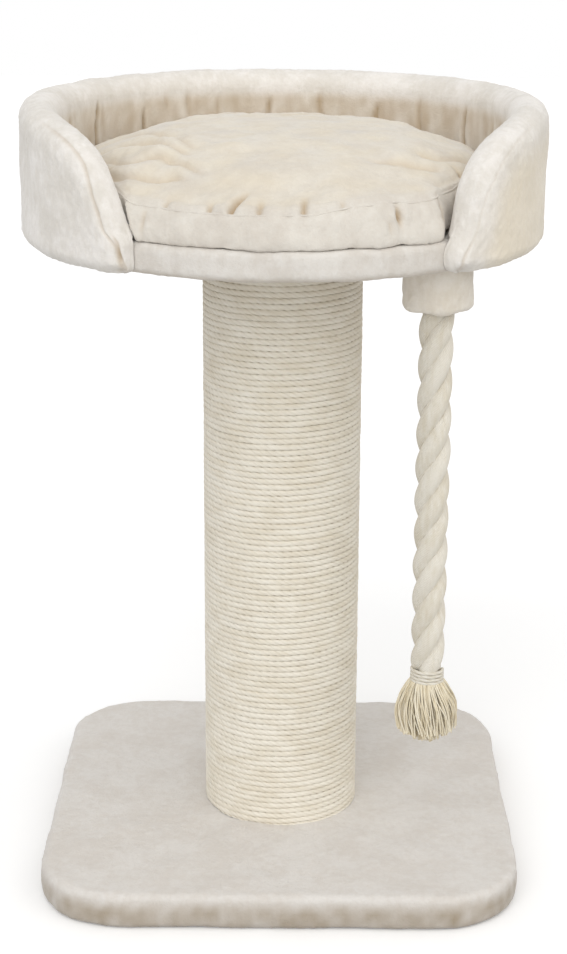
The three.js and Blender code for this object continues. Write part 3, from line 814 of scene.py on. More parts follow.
@dataclass
class SisalPost:
    """The post's winding of twisted sisal rope."""

    radius: float = 0.100
    rope: float = 0.00372
    low: float = 0.0453
    high: float = 0.7997
    clear: float = 0.0001
    turns: int = 103
    loose_end: float = 0.4
    steps: int = 424
    lay: float = 0.030
    plies: int = 3
    pieces: int = 4
    section: tuple[float, ...] = (-96.0, -64.0, -32.0, 0.0, 32.0, 64.0, 96.0)
    sway: float = 0.00035
    swell: float = 0.00016
    slip: float = 0.00012
    drift: float = 1.1
    seed: int = 23

    def length_of_rope(self, name: str, first: float, last: float) -> bpy.types.Object:
        """Winds one length of rope.

        Args:
            name: The piece's name.
            first: The turn that it starts at.
            last: The turn that it ends at.

        Returns:
            The wound rope.
        """
        pitch = (self.high - self.low) / self.turns
        turn = np.arange(round(first * self.steps), round(last * self.steps) + 1) / self.steps
        centre = self.radius - self.rope
        line = ring_points(np.zeros(2), centre, turn * TAU, self.low + turn * pitch)
        along = turn * TAU * self.radius
        rng = np.random.default_rng(self.seed)
        knots = np.arange(-2, self.turns + 4)
        slip = self.slip * np.interp(turn, knots, rng.normal(0, 1, len(knots)))
        wander = np.interp(turn, knots, np.cumsum(rng.normal(0, self.drift, len(knots))))
        sway = Waves(0.03, 0.3, 21).at(line) * self.sway
        swell = Waves(0.015, 0.08, 22).at(line) * self.swell
        theta = np.radians(np.array(self.section))[None]
        twist = theta + (along * (TAU / self.lay) + wander)[:, None]
        ply = np.abs(np.cos(self.plies / 2 * twist))
        thick = self.rope * (0.90 + 0.12 * ply**0.8)
        filled = 0.22 + 0.42 * ply
        out = thick * (filled + (1 - filled) * np.cos(theta))
        height = (line[:, 2] + sway)[:, None] + thick * np.sin(theta)
        height = np.clip(height, self.low + self.clear, self.high - self.clear)
        radius = centre + (swell + slip)[:, None] + out
        rings = ring_points(BED_AXIS, radius, (turn * TAU)[:, None], height)
        piece = skin(name, rings, around=True, caps=True, back=True)
        # Painted shade in the gaps between plies and on the flanks that face the next turns.
        between = ramp(np.abs(np.degrees(theta)), 50, 90)
        patchy = np.clip(0.75 + 0.35 * Waves(0.006, 0.04, 24).at(line), 0, 1.3)[:, None]
        gap = bell(ply, 0.45) * patchy
        store(piece, "painted_shade", np.clip(0.16 * gap + between * (0.06 + 0.72 * gap), 0, 0.9))
        store(piece, "along", np.repeat(along, len(self.section)))
        store(piece, "around", twist * 6)
        return piece

    def build(self, finish: bpy.types.Material) -> None:
        """Winds and dresses the rope in a few lengths, one above the other.

        Args:
            finish: Its sisal.
        """
        ends = np.linspace(0, self.turns, self.pieces + 1)
        ends[0], ends[-1] = -self.loose_end, self.turns + self.loose_end
        for i in range(self.pieces):
            piece = self.length_of_rope(f"sisal_rope_{i + 1}", ends[i], ends[i + 1])
            dress(piece, finish, () if i else ("sisal_winding",))
            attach(piece, "root")


# ---------------------------------------------------------------- bed


@dataclass
class Platform:
    """The round board under the bed in its plush cover."""

    radius: float = 0.290
    low: float = 0.800
    high: float = 0.837
    edge: float = 0.010
    underside: float = 0.066
    rim: tuple[float, float] = (0.25, 0.285)
    fine_radius: float = 0.225
    inmost: float = 0.004
    columns: int = 420
    cloth: float = 0.0035
    sunk: float = 0.0003
    deepest: float = 0.0005
    pile: Pile = Pile(Waves(0.04, 0.12, 31), Waves(0.007, 0.015, 32, 40), 0.0006)
    pocket_place: float = 0.050
    pocket_radius: float = 0.0123
    pocket_reach: tuple[float, float] = (0.827, 0.850)

    def cover(self, finish: bpy.types.Material) -> bpy.types.Object:
        """Builds and dresses the cover.

        Args:
            finish: Its plush.

        Returns:
            The cover.
        """
        e, low, high = self.edge, self.low, self.high
        inner = self.radius - e
        rows = [(self.underside, low), *run((self.underside, low), (inner, low), 34)]
        rows += arc((inner, low + e), e, -90, 0, 7)
        rows += run((self.radius, low + e), (self.radius, high - e), 4)
        rows += arc((inner, high - e), e, 0, 90, 7)
        rows += run((inner, high), (self.fine_radius, high), 13)
        rows += run((self.fine_radius, high), (self.inmost, high), 26)
        piece = skin("platform_cover_plush", lathe(np.array(rows), self.columns, BED_AXIS), True)

        def relief(p: np.ndarray) -> np.ndarray:
            """Height of the pile, which lies flat under the cushion."""
            shown = ramp(reach_of(p), *self.rim) * self.pile.at(p)
            return np.maximum(shown, -self.deepest) - self.sunk

        push(piece, relief)
        # Painted shade in a band along the lower rounded edge.
        store(piece, "painted_shade", 0.25 * bell(points_of(piece)[:, 2] - low - 0.002, 0.003))
        thicken(piece, self.cloth)
        self.cut_pockets(piece)
        dress(piece, finish, ("platform_cover",))
        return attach(piece, "root")

    def cut_pockets(self, piece: bpy.types.Object) -> None:
        """Cuts the three holes over the bolts.

        Args:
            piece: The cover.
        """
        profile = np.array([(self.pocket_radius, z) for z in self.pocket_reach])
        drills = []
        for i in range(3):
            a = math.pi / 2 + i * TAU / 3
            centre = BED_AXIS + self.pocket_place * np.array([math.cos(a), math.sin(a)])
            drills.append(skin("drill", lathe(profile, 24, centre), True, caps=True))
        drill = joined("drill", drills)
        cut = piece.modifiers.new("pockets", "BOOLEAN")
        cut.operation = "DIFFERENCE"
        cut.solver = "EXACT"
        cut.object = drill
        settle(piece)
        bpy.data.objects.remove(drill)


@dataclass
class BedWall:
    """The padded wall round the bed, open at the front, with a sewn facing at each end."""

    middle: float = 0.296
    half: float = 0.024
    low: float = 0.801
    end_columns: int = 118
    back_columns: int = 250
    rows: int = 78
    crowding: float = 1.6
    tuck_height: float = 0.016
    tuck: float = 0.011
    step: tuple[float, float] = (0.8395, 0.851)
    step_radius: float = 0.2907
    sunk: float = 0.0004
    pile: Pile = Pile(Waves(0.045, 0.16, 41), Waves(0.008, 0.017, 42, 40), 0.0009, 0.00035)
    # The brushed pile's pattern, which the inner face's painted shade follows.
    brushing: Waves = Waves(0.010, 0.045, 43)
    # Angle from the front and height along each end, up to the even rim at the back.
    right_line: Rows = (
        (41.6, 0.801), (39.9, 0.8045), (39.1, 0.810), (38.8, 0.820), (39.3, 0.830),
        (40.8, 0.842), (41.8, 0.851), (42.9, 0.872), (43.8, 0.891), (45.3, 0.908),
        (47.4, 0.922), (50.4, 0.9355), (54.0, 0.9455), (58.8, 0.954), (65.0, 0.961),
        (72.0, 0.966), (82.0, 0.9705), (94.0, 0.973),
    )  # fmt: skip
    left_line: Rows = (
        (36.0, 0.801), (34.8, 0.8055), (34.5, 0.813), (34.7, 0.824), (34.7, 0.836),
        (35.6, 0.846), (37.0, 0.858), (38.3, 0.872), (40.2, 0.891), (42.2, 0.908),
        (44.2, 0.922), (47.0, 0.9355), (50.4, 0.9455), (55.0, 0.954), (61.0, 0.961),
        (68.0, 0.966), (78.0, 0.9705), (90.0, 0.973),
    )  # fmt: skip
    # Height, and how far from the edge the facing's seam runs there.
    right_seam: Rows = (
        (0.801, 0.0015), (0.812, 0.0080), (0.830, 0.0105), (0.870, 0.0120),
        (0.905, 0.0155), (0.930, 0.0130), (0.955, 0.0080),
    )  # fmt: skip
    left_seam: Rows = (
        (0.801, 0.0008), (0.815, 0.0028), (0.830, 0.0065), (0.850, 0.0120),
        (0.888, 0.0100), (0.920, 0.0055), (0.955, 0.0050),
    )  # fmt: skip
    # Creases inside: angle from the front, lowest and highest point, depth, width and strength of
    # the painted shade in them.
    creases: Rows = (
        (241.4, 0.880, 0.953, 0.0075, 0.0026, 0.95),
        (222.0, 0.890, 0.938, 0.0060, 0.0030, 0.70),
        (214.6, 0.925, 0.958, 0.0022, 0.0040, 0.30),
        (207.4, 0.910, 0.956, 0.0030, 0.0045, 0.35),
        (258.0, 0.880, 0.945, 0.0035, 0.0040, 0.40),
        (198.5, 0.900, 0.950, 0.0030, 0.0040, 0.40),
        (184.0, 0.885, 0.944, 0.0050, 0.0032, 0.60),
        (169.5, 0.905, 0.955, 0.0028, 0.0045, 0.35),
        (153.0, 0.885, 0.940, 0.0055, 0.0030, 0.65),
        (139.0, 0.900, 0.952, 0.0030, 0.0044, 0.35),
        (121.5, 0.885, 0.948, 0.0060, 0.0030, 0.75),
        (106.0, 0.880, 0.940, 0.0030, 0.0042, 0.40),
        (91.0, 0.870, 0.936, 0.0042, 0.0036, 0.50),
        (279.0, 0.870, 0.936, 0.0036, 0.0040, 0.40),
    )

    def unrolled(self, angle: np.ndarray) -> np.ndarray:
        """Turns an angle in degrees into a length along the wall."""
        return np.radians(angle) * self.middle

    def edge_line(self) -> tuple[np.ndarray, np.ndarray]:
        """Lays the wall's edge and its foot flat.

        Returns:
            Two arrays of columns with a length along the wall and a height.
        """
        ends = (
            [(self.unrolled(a), z) for a, z in self.right_line],
            [(self.unrolled(360 - a), z) for a, z in reversed(self.left_line)],
        )
        right, left = (smooth_line(np.array(end), self.end_columns) for end in ends)
        walk = np.linspace(0, 1, self.back_columns)[1:-1, None]
        back = right[-1] + (left[0] - right[-1]) * walk
        near, far = (np.linspace(end[0, 0], end[-1, 0], len(end)) for end in (right, left))
        feet = np.concatenate([near, back[:, 0], far])
        return np.vstack([right, back, left]), np.column_stack([feet, np.full(len(feet), self.low)])

    def seam_inset(self, x: np.ndarray, z: np.ndarray) -> tuple[np.ndarray, np.ndarray]:
        """Finds the facing's seam.

        Args:
            x: Lengths along the wall.
            z: Heights.

        Returns:
            How far from the edge the seam runs at each point, and how strong it shows.
        """
        right = x < self.unrolled(180.0)
        insets = [np.interp(z, *np.array(rows).T) for rows in (self.right_seam, self.left_seam)]
        strength = (1 - ramp(z, 0.945, 0.962)) * ramp(z, self.low, 0.806)
        faint = 1 - 0.65 * right * ramp(z, 0.812, 0.845)
        return np.where(right, *insets), strength * faint

    def outer_relief(
        self, x: np.ndarray, z: np.ndarray, inset: np.ndarray, half: np.ndarray
    ) -> tuple[np.ndarray, np.ndarray]:
        """Works out the outer face's seam, the pleat at the left end and the tucked-in foot, with
        painted shade in the seam and the pleat.

        Args:
            x: Lengths along the wall.
            z: Heights.
            inset: Distances from the edge.
            half: Half the wall's thickness at each point.

        Returns:
            How far the face stands out, and the strength of the painted shade.
        """
        seam, strength = self.seam_inset(x, z)
        near = bell(inset - seam, 0.0013) * strength
        pleat = (x > self.unrolled(180.0)) * (1 - ramp(z, 0.838, 0.852)) * strength
        crossing = bell(inset - 0.0042 - 0.05 * (z - self.low), 0.0014) * pleat
        tuck = np.clip((self.low + self.tuck_height - z) / self.tuck_height, 0, 1)
        rise = 0.0008 * bell(inset - seam, 0.0065) * strength - 0.0018 * near - 0.0022 * crossing
        rise -= self.tuck * tuck**2 * np.minimum(1, half / self.tuck)
        # Painted shade in the seam's groove and along the pleat's crease.
        return rise, np.clip(0.38 * near + 0.5 * crossing, 0, 1)

    def inner_relief(
        self, x: np.ndarray, z: np.ndarray, inset: np.ndarray
    ) -> tuple[np.ndarray, np.ndarray]:
        """Works out the inner face's creases with painted shade in them, and a patchy painted shade
        over the face.

        Args:
            x: Lengths along the wall.
            z: Heights.
            inset: Distances from the edge.

        Returns:
            How far the face stands out, and the fold's strength.
        """
        rise, painted_shade = np.zeros_like(x), np.zeros_like(x)
        for angle, low, high, deep, width, tint in self.creases:
            across = x - self.unrolled(angle) - 0.004 * np.sin((z - low) * 60)
            reach = ramp(z, low - 0.01, low + 0.012) * (1 - ramp(z, high - 0.022, high))
            near = bell(across, width) * reach
            rise += 0.0016 * bell(across, 4.0 * width) * reach - deep * near
            # Painted shade along each crease.
            painted_shade += tint * near
        # Painted shade over the inner face away from the edge, patchy in the brushed pile's
        # pattern.
        places = np.stack([x, 0.6 * z, 0 * x], -1).reshape(-1, 3)
        shaded = np.clip(0.42 + 0.16 * self.brushing.at(places).reshape(x.shape), 0, 0.75)
        painted_shade += shaded * ramp(inset, 0.023, 0.040)
        return np.minimum(rise, 0.0016), np.clip(painted_shade, 0, 1)

    def cover(self, finish: bpy.types.Material) -> bpy.types.Object:
        """Builds and dresses the cover.

        Args:
            finish: Its plush.

        Returns:
            The cover.
        """
        edge, foot = self.edge_line()
        down = (np.arange(self.rows + 1) / self.rows) ** self.crowding
        flat = edge[None] + (foot - edge)[None] * down[:, None, None]
        inset = distance_to_line(flat.reshape(-1, 2), edge)[:, 0].reshape(flat.shape[:2])
        half = np.sqrt(self.half**2 - np.maximum(0, self.half - inset) ** 2)
        x, z = flat[..., 0], flat[..., 1]
        outside, inside = self.outer_relief(x, z, inset, half), self.inner_relief(x, z, inset)
        thick = ramp(half, 0.003, 0.012)
        outer = self.middle + (half + outside[0] * thick)
        inner = self.middle - (half + inside[0] * thick)
        # Painted warm light over the right of the outer face.
        painted_warm_light = 0.62 * (1 - ramp(np.degrees(x / self.middle), 48, 150)) * ramp(inset, 0.004, 0.060)
        faces = (
            (outer, np.maximum(inner, self.clear_of_platform(z))),
            (outside[1], inside[1]),
            # The inner face's warm values are painted warm shade.
            (painted_warm_light, 0.22 * ramp(inset, 0.024, 0.040)),
            (x / self.middle - math.pi / 2, x / self.middle - math.pi / 2),
            (z, z),
        )
        radius, painted_shade, warm, azimuth, height = (np.vstack([a[::-1], b[1:]]).T for a, b in faces)
        rings = ring_points(BED_AXIS, radius, azimuth, height)
        piece = skin("wall_cover_plush", rings, True, back=True)
        store(piece, "painted_shade", painted_shade)
        store(piece, "warm", warm)
        self.roughen(piece)
        dress(piece, finish, ("wall_cover", "wall_foam"))
        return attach(piece, "root")

    def clear_of_platform(self, z: np.ndarray) -> np.ndarray:
        """The smallest radius of the inner face, which runs outside the platform's edge."""
        inner = self.middle - 2 * self.half
        return inner + (self.step_radius - inner) * (1 - ramp(z, *self.step))

    def inner_radius(self, points: np.ndarray) -> np.ndarray:
        """Finds the wall's inner face beside points.

        Args:
            points: Rows of three coordinates.

        Returns:
            Its radius, and in the opening the radius of the wall's middle.
        """
        angle = front_angle(points)
        heights = np.clip(points[:, 2], 0.836, 0.97)
        ends = (self.right_line, self.left_line)
        edges = [np.interp(heights, *np.array(line).T[::-1]) for line in ends]
        past = self.unrolled(np.abs(angle) - np.where(angle > 0, *edges))
        left = np.clip(self.half - past, 0, self.half)
        return self.middle - np.where(past > 0, np.sqrt(self.half**2 - left**2), 0.0)

    def roughen(self, piece: bpy.types.Object) -> None:
        """Gives the pile its unevenness, less beside the cushion and none beside the platform.

        Args:
            piece: The cover.
        """

        def relief(p: np.ndarray) -> np.ndarray:
            """Height of the pile."""
            reach = reach_of(p)
            free = 0.2 + 0.8 * ramp(reach, 0.272, 0.285)
            foot = (1 - ramp(p[:, 2], 0.851, 0.860)) * (1 - ramp(reach, 0.2912, 0.2930))
            return (1 - foot) * (free * self.pile.at(p) - self.sunk)

        push(piece, relief)
        points = points_of(piece)
        pull = np.maximum(1.0, self.clear_of_platform(points[:, 2]) / reach_of(points))
        points[:, :2] = BED_AXIS + (points[:, :2] - BED_AXIS) * pull[:, None]
        points[:, 2] = np.maximum(points[:, 2], self.low - 0.001)
        place_points(piece, points)


@dataclass
class Cushion:
    """The thick loose cushion, blown up by a cloth simulation and then sewn and creased."""

    low: float = 0.8375
    high: float = 0.9365
    limit: float = 0.2665
    front_limit: float = 0.2925
    beside_wall: float = 0.2700
    wall_gap: float = 0.0020
    rim: float = 0.280
    rim_round: float = 0.010
    rows: int = 78
    columns: int = 240
    voxel: float = 0.0052
    travel: float = 0.005
    frames: int = 20
    ridge_points: int = 360
    ridge_radius: float = 0.0013
    ridge_depth: float = 0.0003
    pile: Pile = Pile(Waves(0.05, 0.16, 51), Waves(0.008, 0.016, 53, 40), 0.0015)
    ripple: Waves = Waves(0.018, 0.045, 52)
    patches: Waves = Waves(0.03, 0.12, 54)
    cloth: tuple[tuple[str, Union[float, bool, str]], ...] = (
        ("quality", 5),
        ("mass", 0.3),
        ("tension_stiffness", 12),
        ("compression_stiffness", 12),
        ("bending_stiffness", 0.4),
        ("use_pressure", True),
        ("uniform_pressure_force", 4.0),
        ("vertex_group_shrink", "seam"),
        ("shrink_min", -0.02),
        ("shrink_max", 0.12),
    )
    # Radius and height in the wall's opening, then radius and height inside the wall.
    form: Rows = (
        (0.0000, 0.8385, 0.0000, 0.8385),
        (0.1900, 0.8385, 0.1900, 0.8385),
        (0.2550, 0.8385, 0.2340, 0.8388),
        (0.2780, 0.8372, 0.2480, 0.8405),
        (0.2865, 0.8340, 0.2550, 0.8450),
        (0.2892, 0.8370, 0.2590, 0.8520),
        (0.2895, 0.8480, 0.2615, 0.8640),
        (0.2870, 0.8640, 0.2605, 0.8790),
        (0.2770, 0.8770, 0.2545, 0.8900),
        (0.2610, 0.8850, 0.2440, 0.9005),
        (0.2370, 0.8935, 0.2280, 0.9110),
        (0.1980, 0.9065, 0.1960, 0.9205),
        (0.1500, 0.9185, 0.1500, 0.9265),
        (0.0800, 0.9280, 0.0800, 0.9300),
        (0.0000, 0.9315, 0.0000, 0.9315),
    )
    seam_row: int = 8
    # Angle from the front, and how far the cushion has pushed out through the opening there.
    pushed_out: Rows = (
        (-62.0, 0.00), (-54.0, 0.10), (-48.0, 0.24), (-44.0, 0.62), (-41.5, 0.84),
        (-38.5, 0.86), (-30.0, 0.88), (-17.0, 0.94), (-8.0, 1.00), (5.0, 1.00),
        (12.0, 0.96), (22.0, 0.95), (28.0, 0.87), (33.0, 0.93), (39.0, 0.92),
        (41.5, 0.74), (43.5, 0.38), (46.5, 0.26), (53.0, 0.12), (62.0, 0.00),
    )  # fmt: skip
    # Folds across the top: depth, width, and the line about the cushion's axis.
    wrinkles: tuple[tuple[float, float, Rows], ...] = (
        (0.0046, 0.0085, ((-0.232, -0.050), (-0.206, -0.061), (-0.186, -0.064),
                          (-0.151, -0.094), (-0.118, -0.127), (-0.096, -0.158))),
        (0.0050, 0.0080, ((-0.236, -0.088), (-0.205, -0.099), (-0.181, -0.132),
                          (-0.144, -0.135), (-0.117, -0.158), (-0.096, -0.184),
                          (-0.079, -0.204))),
        (0.0046, 0.0075, ((-0.212, -0.136), (-0.192, -0.154), (-0.167, -0.165),
                          (-0.141, -0.179), (-0.120, -0.186), (-0.100, -0.206))),
        (0.0034, 0.0100, ((-0.210, 0.000), (-0.170, -0.010), (-0.135, -0.065),
                          (-0.111, -0.106), (-0.085, -0.140))),
        (0.0036, 0.0090, ((0.150, -0.120), (0.180, -0.110), (0.212, -0.084),
                          (0.236, -0.060))),
        (0.0030, 0.0095, ((0.090, -0.150), (0.136, -0.152), (0.170, -0.146),
                          (0.196, -0.136))),
        (0.0024, 0.0110, ((-0.120, 0.190), (-0.090, 0.150), (-0.030, 0.135),
                          (0.040, 0.150), (0.090, 0.185))),
        (0.0024, 0.0105, ((0.225, 0.060), (0.190, 0.066), (0.165, 0.095),
                          (0.152, 0.135))),
    )  # fmt: skip
    # Short creases that run in from the seam: angle from the front, length, lean, depth.
    tucks: Rows = (
        (-12.2, 0.044, 0.36, 0.0075), (-5.2, 0.030, 0.08, 0.0042),
        (5.0, 0.036, 0.16, 0.0052), (-17.0, 0.018, -0.10, 0.0045),
        (-29.0, 0.018, 0.20, 0.0025), (14.5, 0.016, 0.10, 0.0022),
        (57.0, 0.026, 0.10, 0.0040), (81.0, 0.022, -0.10, 0.0036),
        (103.0, 0.030, 0.20, 0.0045), (127.0, 0.024, -0.15, 0.0036),
        (149.0, 0.030, 0.10, 0.0045), (171.0, 0.022, -0.15, 0.0036),
        (193.0, 0.030, 0.15, 0.0045), (216.0, 0.024, -0.10, 0.0036),
        (238.0, 0.028, 0.10, 0.0040), (259.0, 0.024, -0.15, 0.0036),
        (281.0, 0.026, 0.10, 0.0040), (304.0, 0.026, -0.10, 0.0040),
    )  # fmt: skip
    # Upright creases in the boxed side: angle from the front, middle height, reach, depth.
    side_creases: Rows = (
        (28.2, 0.870, 0.0095, 0.0080), (25.4, 0.858, 0.0070, 0.0020),
        (41.5, 0.862, 0.0160, 0.0042), (-33.5, 0.860, 0.0140, 0.0024),
        (62.0, 0.866, 0.0140, 0.0035), (96.0, 0.866, 0.0140, 0.0040),
        (140.0, 0.866, 0.0140, 0.0040), (185.0, 0.866, 0.0140, 0.0040),
        (230.0, 0.866, 0.0140, 0.0040), (270.0, 0.866, 0.0140, 0.0040),
        (301.0, 0.866, 0.0140, 0.0035),
    )  # fmt: skip

    def opening(self, angle: np.ndarray) -> np.ndarray:
        """1 where the cushion has pushed out furthest and 0 where the wall holds it in."""
        return np.interp(angle, *np.array(self.pushed_out).T)

    def lift(self, angle: np.ndarray) -> np.ndarray:
        """How much higher the seam lies on the right of the opening."""
        return 0.0100 * ramp(angle, 6, 17) * (1 - ramp(angle, 39, 46))

    def seam(self, angle: np.ndarray) -> tuple[np.ndarray, np.ndarray]:
        """Finds the upper seam.

        Args:
            angle: Angles from the front, in degrees.

        Returns:
            Its radius and its height there.
        """
        front, front_height, inner, inner_height = self.form[self.seam_row]
        part = self.opening(angle)
        height = inner_height + (front_height - inner_height) * part + self.lift(angle)
        return inner + (front - inner) * part, height

    def build(self, finish: bpy.types.Material) -> bpy.types.Object:
        """Builds and dresses the cushion.

        Args:
            finish: Its plush.

        Returns:
            The cushion.
        """
        control = smooth_line(np.array(self.form), self.rows)[:, :, None]
        azimuth = np.arange(self.columns) / self.columns * TAU
        angle = np.degrees((azimuth + 1.5 * math.pi) % TAU - math.pi)
        part = self.opening(angle)[None]
        reach = np.maximum(control[:, 2] + (control[:, 0] - control[:, 2]) * part, 0.0008)
        height = control[:, 3] + (control[:, 1] - control[:, 3]) * part
        height += self.lift(angle) * bell(height - self.seam(angle)[1][None], 0.016)
        rings = ring_points(BED_AXIS, reach, azimuth, height)
        piece = skin("cushion_plush", rings, True, caps=True)
        even = piece.modifiers.new("even_faces", "REMESH")
        even.mode = "VOXEL"
        even.voxel_size = self.voxel
        settle(piece)
        self.fill(piece)
        finer = piece.modifiers.new("finer", "SUBSURF")
        finer.levels = finer.render_levels = 1
        settle(piece)
        self.sew(piece)
        piece.data.polygons.foreach_set("use_smooth", np.ones(len(piece.data.polygons), bool))
        dress(piece, finish, ("cushion_cover", "cushion_filling"))
        self.ridge(piece, finish)
        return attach(piece, "cushion")

    def ridge(self, cushion: bpy.types.Object, finish: bpy.types.Material) -> bpy.types.Object:
        """Lays the seam's narrow ridge along the cushion's upper edge.

        Args:
            cushion: The finished cushion.
            finish: Its plush.

        Returns:
            The ridge.
        """
        points = points_of(cushion)
        angle = front_angle(points)
        radius, height = self.seam(angle)
        reach = reach_of(points)
        near = bell(np.hypot(reach - radius, points[:, 2] - height), 0.010)
        weight = near * bell(normals_of(cushion)[:, 2] - 0.62, 0.16) + 1e-9
        count = self.ridge_points
        place = ((angle % 360) / 360 * count).astype(int) % count
        total = np.bincount(place, weight, count)
        kernel = np.hanning(9) / np.hanning(9).sum()
        turned = (np.arange(count) + 0.5) * 360 / count
        middle = []
        offsets = (reach - radius, points[:, 2] - height)
        for off, base in zip(offsets, self.seam((turned + 180) % 360 - 180)):
            mean = np.bincount(place, weight * off, count) / total
            smooth = np.convolve(np.r_[mean[-4:], mean, mean[:4]], kernel, "valid")
            middle.append(base + smooth - self.ridge_depth)
        section = (np.arange(9) / 8 * TAU)[:, None]
        rings = ring_points(
            BED_AXIS,
            middle[0] + self.ridge_radius * np.cos(section),
            np.radians(turned - 90),
            middle[1] + self.ridge_radius * np.sin(section),
        )
        piece = skin("cushion_seam", rings, True)
        weld = piece.modifiers.new("join", "WELD")
        weld.merge_threshold = 0.00001
        settle(piece)
        dress(piece, finish)
        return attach(piece, "cushion")

    def fill(self, piece: bpy.types.Object) -> None:
        """Fills the cushion: its cloth swells, and gathers where the seam holds it short.

        Args:
            piece: The remeshed cushion.
        """
        before = points_of(piece)
        radius, height = self.seam(front_angle(before))
        sewn = bell(np.hypot(before[:, 2] - height, reach_of(before) - radius), 0.010)
        group = piece.vertex_groups.new(name="seam")
        for level in range(1, 11):
            chosen = np.flatnonzero(np.round(sewn * 10) == level).tolist()
            if chosen:
                group.add(chosen, level / 10, "REPLACE")
        cloth = piece.modifiers.new("filling", "CLOTH")
        for name, value in self.cloth:
            setattr(cloth.settings, name, value)
        cloth.settings.effector_weights.gravity = 0.0
        cloth.collision_settings.use_collision = False
        scene = bpy.context.scene
        for number in range(1, self.frames + 1):
            scene.frame_set(number)
        settle(piece)
        scene.frame_set(1)
        move = points_of(piece) - before
        far = np.linalg.norm(move, axis=1)
        most = self.travel * (0.12 + 0.88 * ramp(before[:, 2], 0.841, 0.862))
        keep = np.minimum(1, most / np.maximum(far, 1e-9))
        place_points(piece, before + move * keep[:, None])
        LOG.info("cushion filled: mean travel %.1f mm", 1000 * far.mean())

    def sew(self, piece: bpy.types.Object) -> None:
        """Draws the seams, folds and creases with painted shade in them, and keeps the cushion
        between its neighbours.

        Args:
            piece: The filled cushion.
        """
        points = points_of(piece)
        normals = normals_of(piece)
        flat = points[:, :2] - BED_AXIS
        reach = reach_of(points)
        angle = front_angle(points)
        seam_radius, seam_height = self.seam(angle)
        depth, painted_shade = np.zeros(len(points)), np.zeros(len(points))
        upper = ramp(normals[:, 2], 0.15, 0.6)
        for deep, width, line in self.wrinkles:
            gap, place = distance_to_line(flat, smooth_line(np.array(line), 90)).T
            fade = ramp(place, 0, 0.22) * (1 - ramp(place, 0.75, 1.0)) * upper
            valley = bell(gap, width * 0.6)
            depth += fade * deep * (0.5 * bell(gap - 1.9 * width, width) - valley)
            # Painted shade in the wrinkle's valley.
            painted_shade += 0.30 * fade * valley
        inwards = seam_radius - reach
        for centre, length, lean, deep in self.tucks:
            across = np.radians((angle - centre + 180) % 360 - 180) * reach - inwards * lean
            fade = ramp(inwards, 0.001, 0.006) * (1 - ramp(inwards, length * 0.4, length)) * upper
            near = bell(across, 0.0034) * fade
            depth += -deep * near + 0.4 * deep * bell(np.abs(across) - 0.010, 0.006) * fade
            # Painted shade along the tuck.
            painted_shade += min(0.9, 140 * deep) * near
        side = 1 - ramp(np.abs(normals[:, 2]), 0.45, 0.85)
        for centre, middle, tall, deep in self.side_creases:
            across = np.radians((angle - centre + 180) % 360 - 180) * reach
            fade = side * bell(points[:, 2] - middle, tall)
            raised = 0.35 * bell(np.abs(across) - 0.009, 0.005) - bell(across, 0.0036)
            depth += deep * raised * fade
            # Painted shade along the side crease.
            painted_shade += min(0.95, 130 * deep) * bell(across, 0.0030) * fade
        above = points[:, 2] - seam_height - 0.0015
        warm = ramp(above, -0.004, 0.006) * (0.28 + 0.12 * self.patches.at(points))
        outer = ramp(reach, seam_radius - 0.018, seam_radius - 0.008)
        depth += outer * (0.0016 * bell(above, 0.0019) - 0.0012 * bell(above - 0.0058, 0.0030))
        # Painted shade in the groove above the seam's ridge.
        painted_shade += 0.16 * outer * bell(above - 0.0050, 0.0022)
        depth += self.pile.at(points) + 0.0005 * self.ripple.at(points)
        store(piece, "warm", np.clip(warm, 0, 1))
        points += normals * depth[:, None]
        self.keep_in_place(points)
        place_points(piece, points)
        store(piece, "painted_shade", np.clip(painted_shade, 0, 0.95))

    def keep_in_place(self, points: np.ndarray) -> None:
        """Holds the points inside the wall, its opening and the top of the platform.

        Args:
            points: Rows of three coordinates, which are changed.
        """
        reach = reach_of(points)
        beside = BedWall().inner_radius(points) - self.wall_gap
        held = 1 - ramp(beside, self.beside_wall, self.beside_wall + 0.010)
        beside -= (self.beside_wall - self.limit) * held
        pull = np.minimum(1, np.minimum(self.front_limit, beside) / np.maximum(reach, 1e-9))
        points[:, :2] = BED_AXIS + (points[:, :2] - BED_AXIS) * pull[:, None]
        past = np.clip(reach * pull - self.rim, 0, 0.95 * self.rim_round)
        drop = self.rim_round - np.sqrt(self.rim_round**2 - past**2)
        points[:, 2] = np.clip(points[:, 2], self.low - drop, self.high)


# ---------------------------------------------------------------- hanging rope


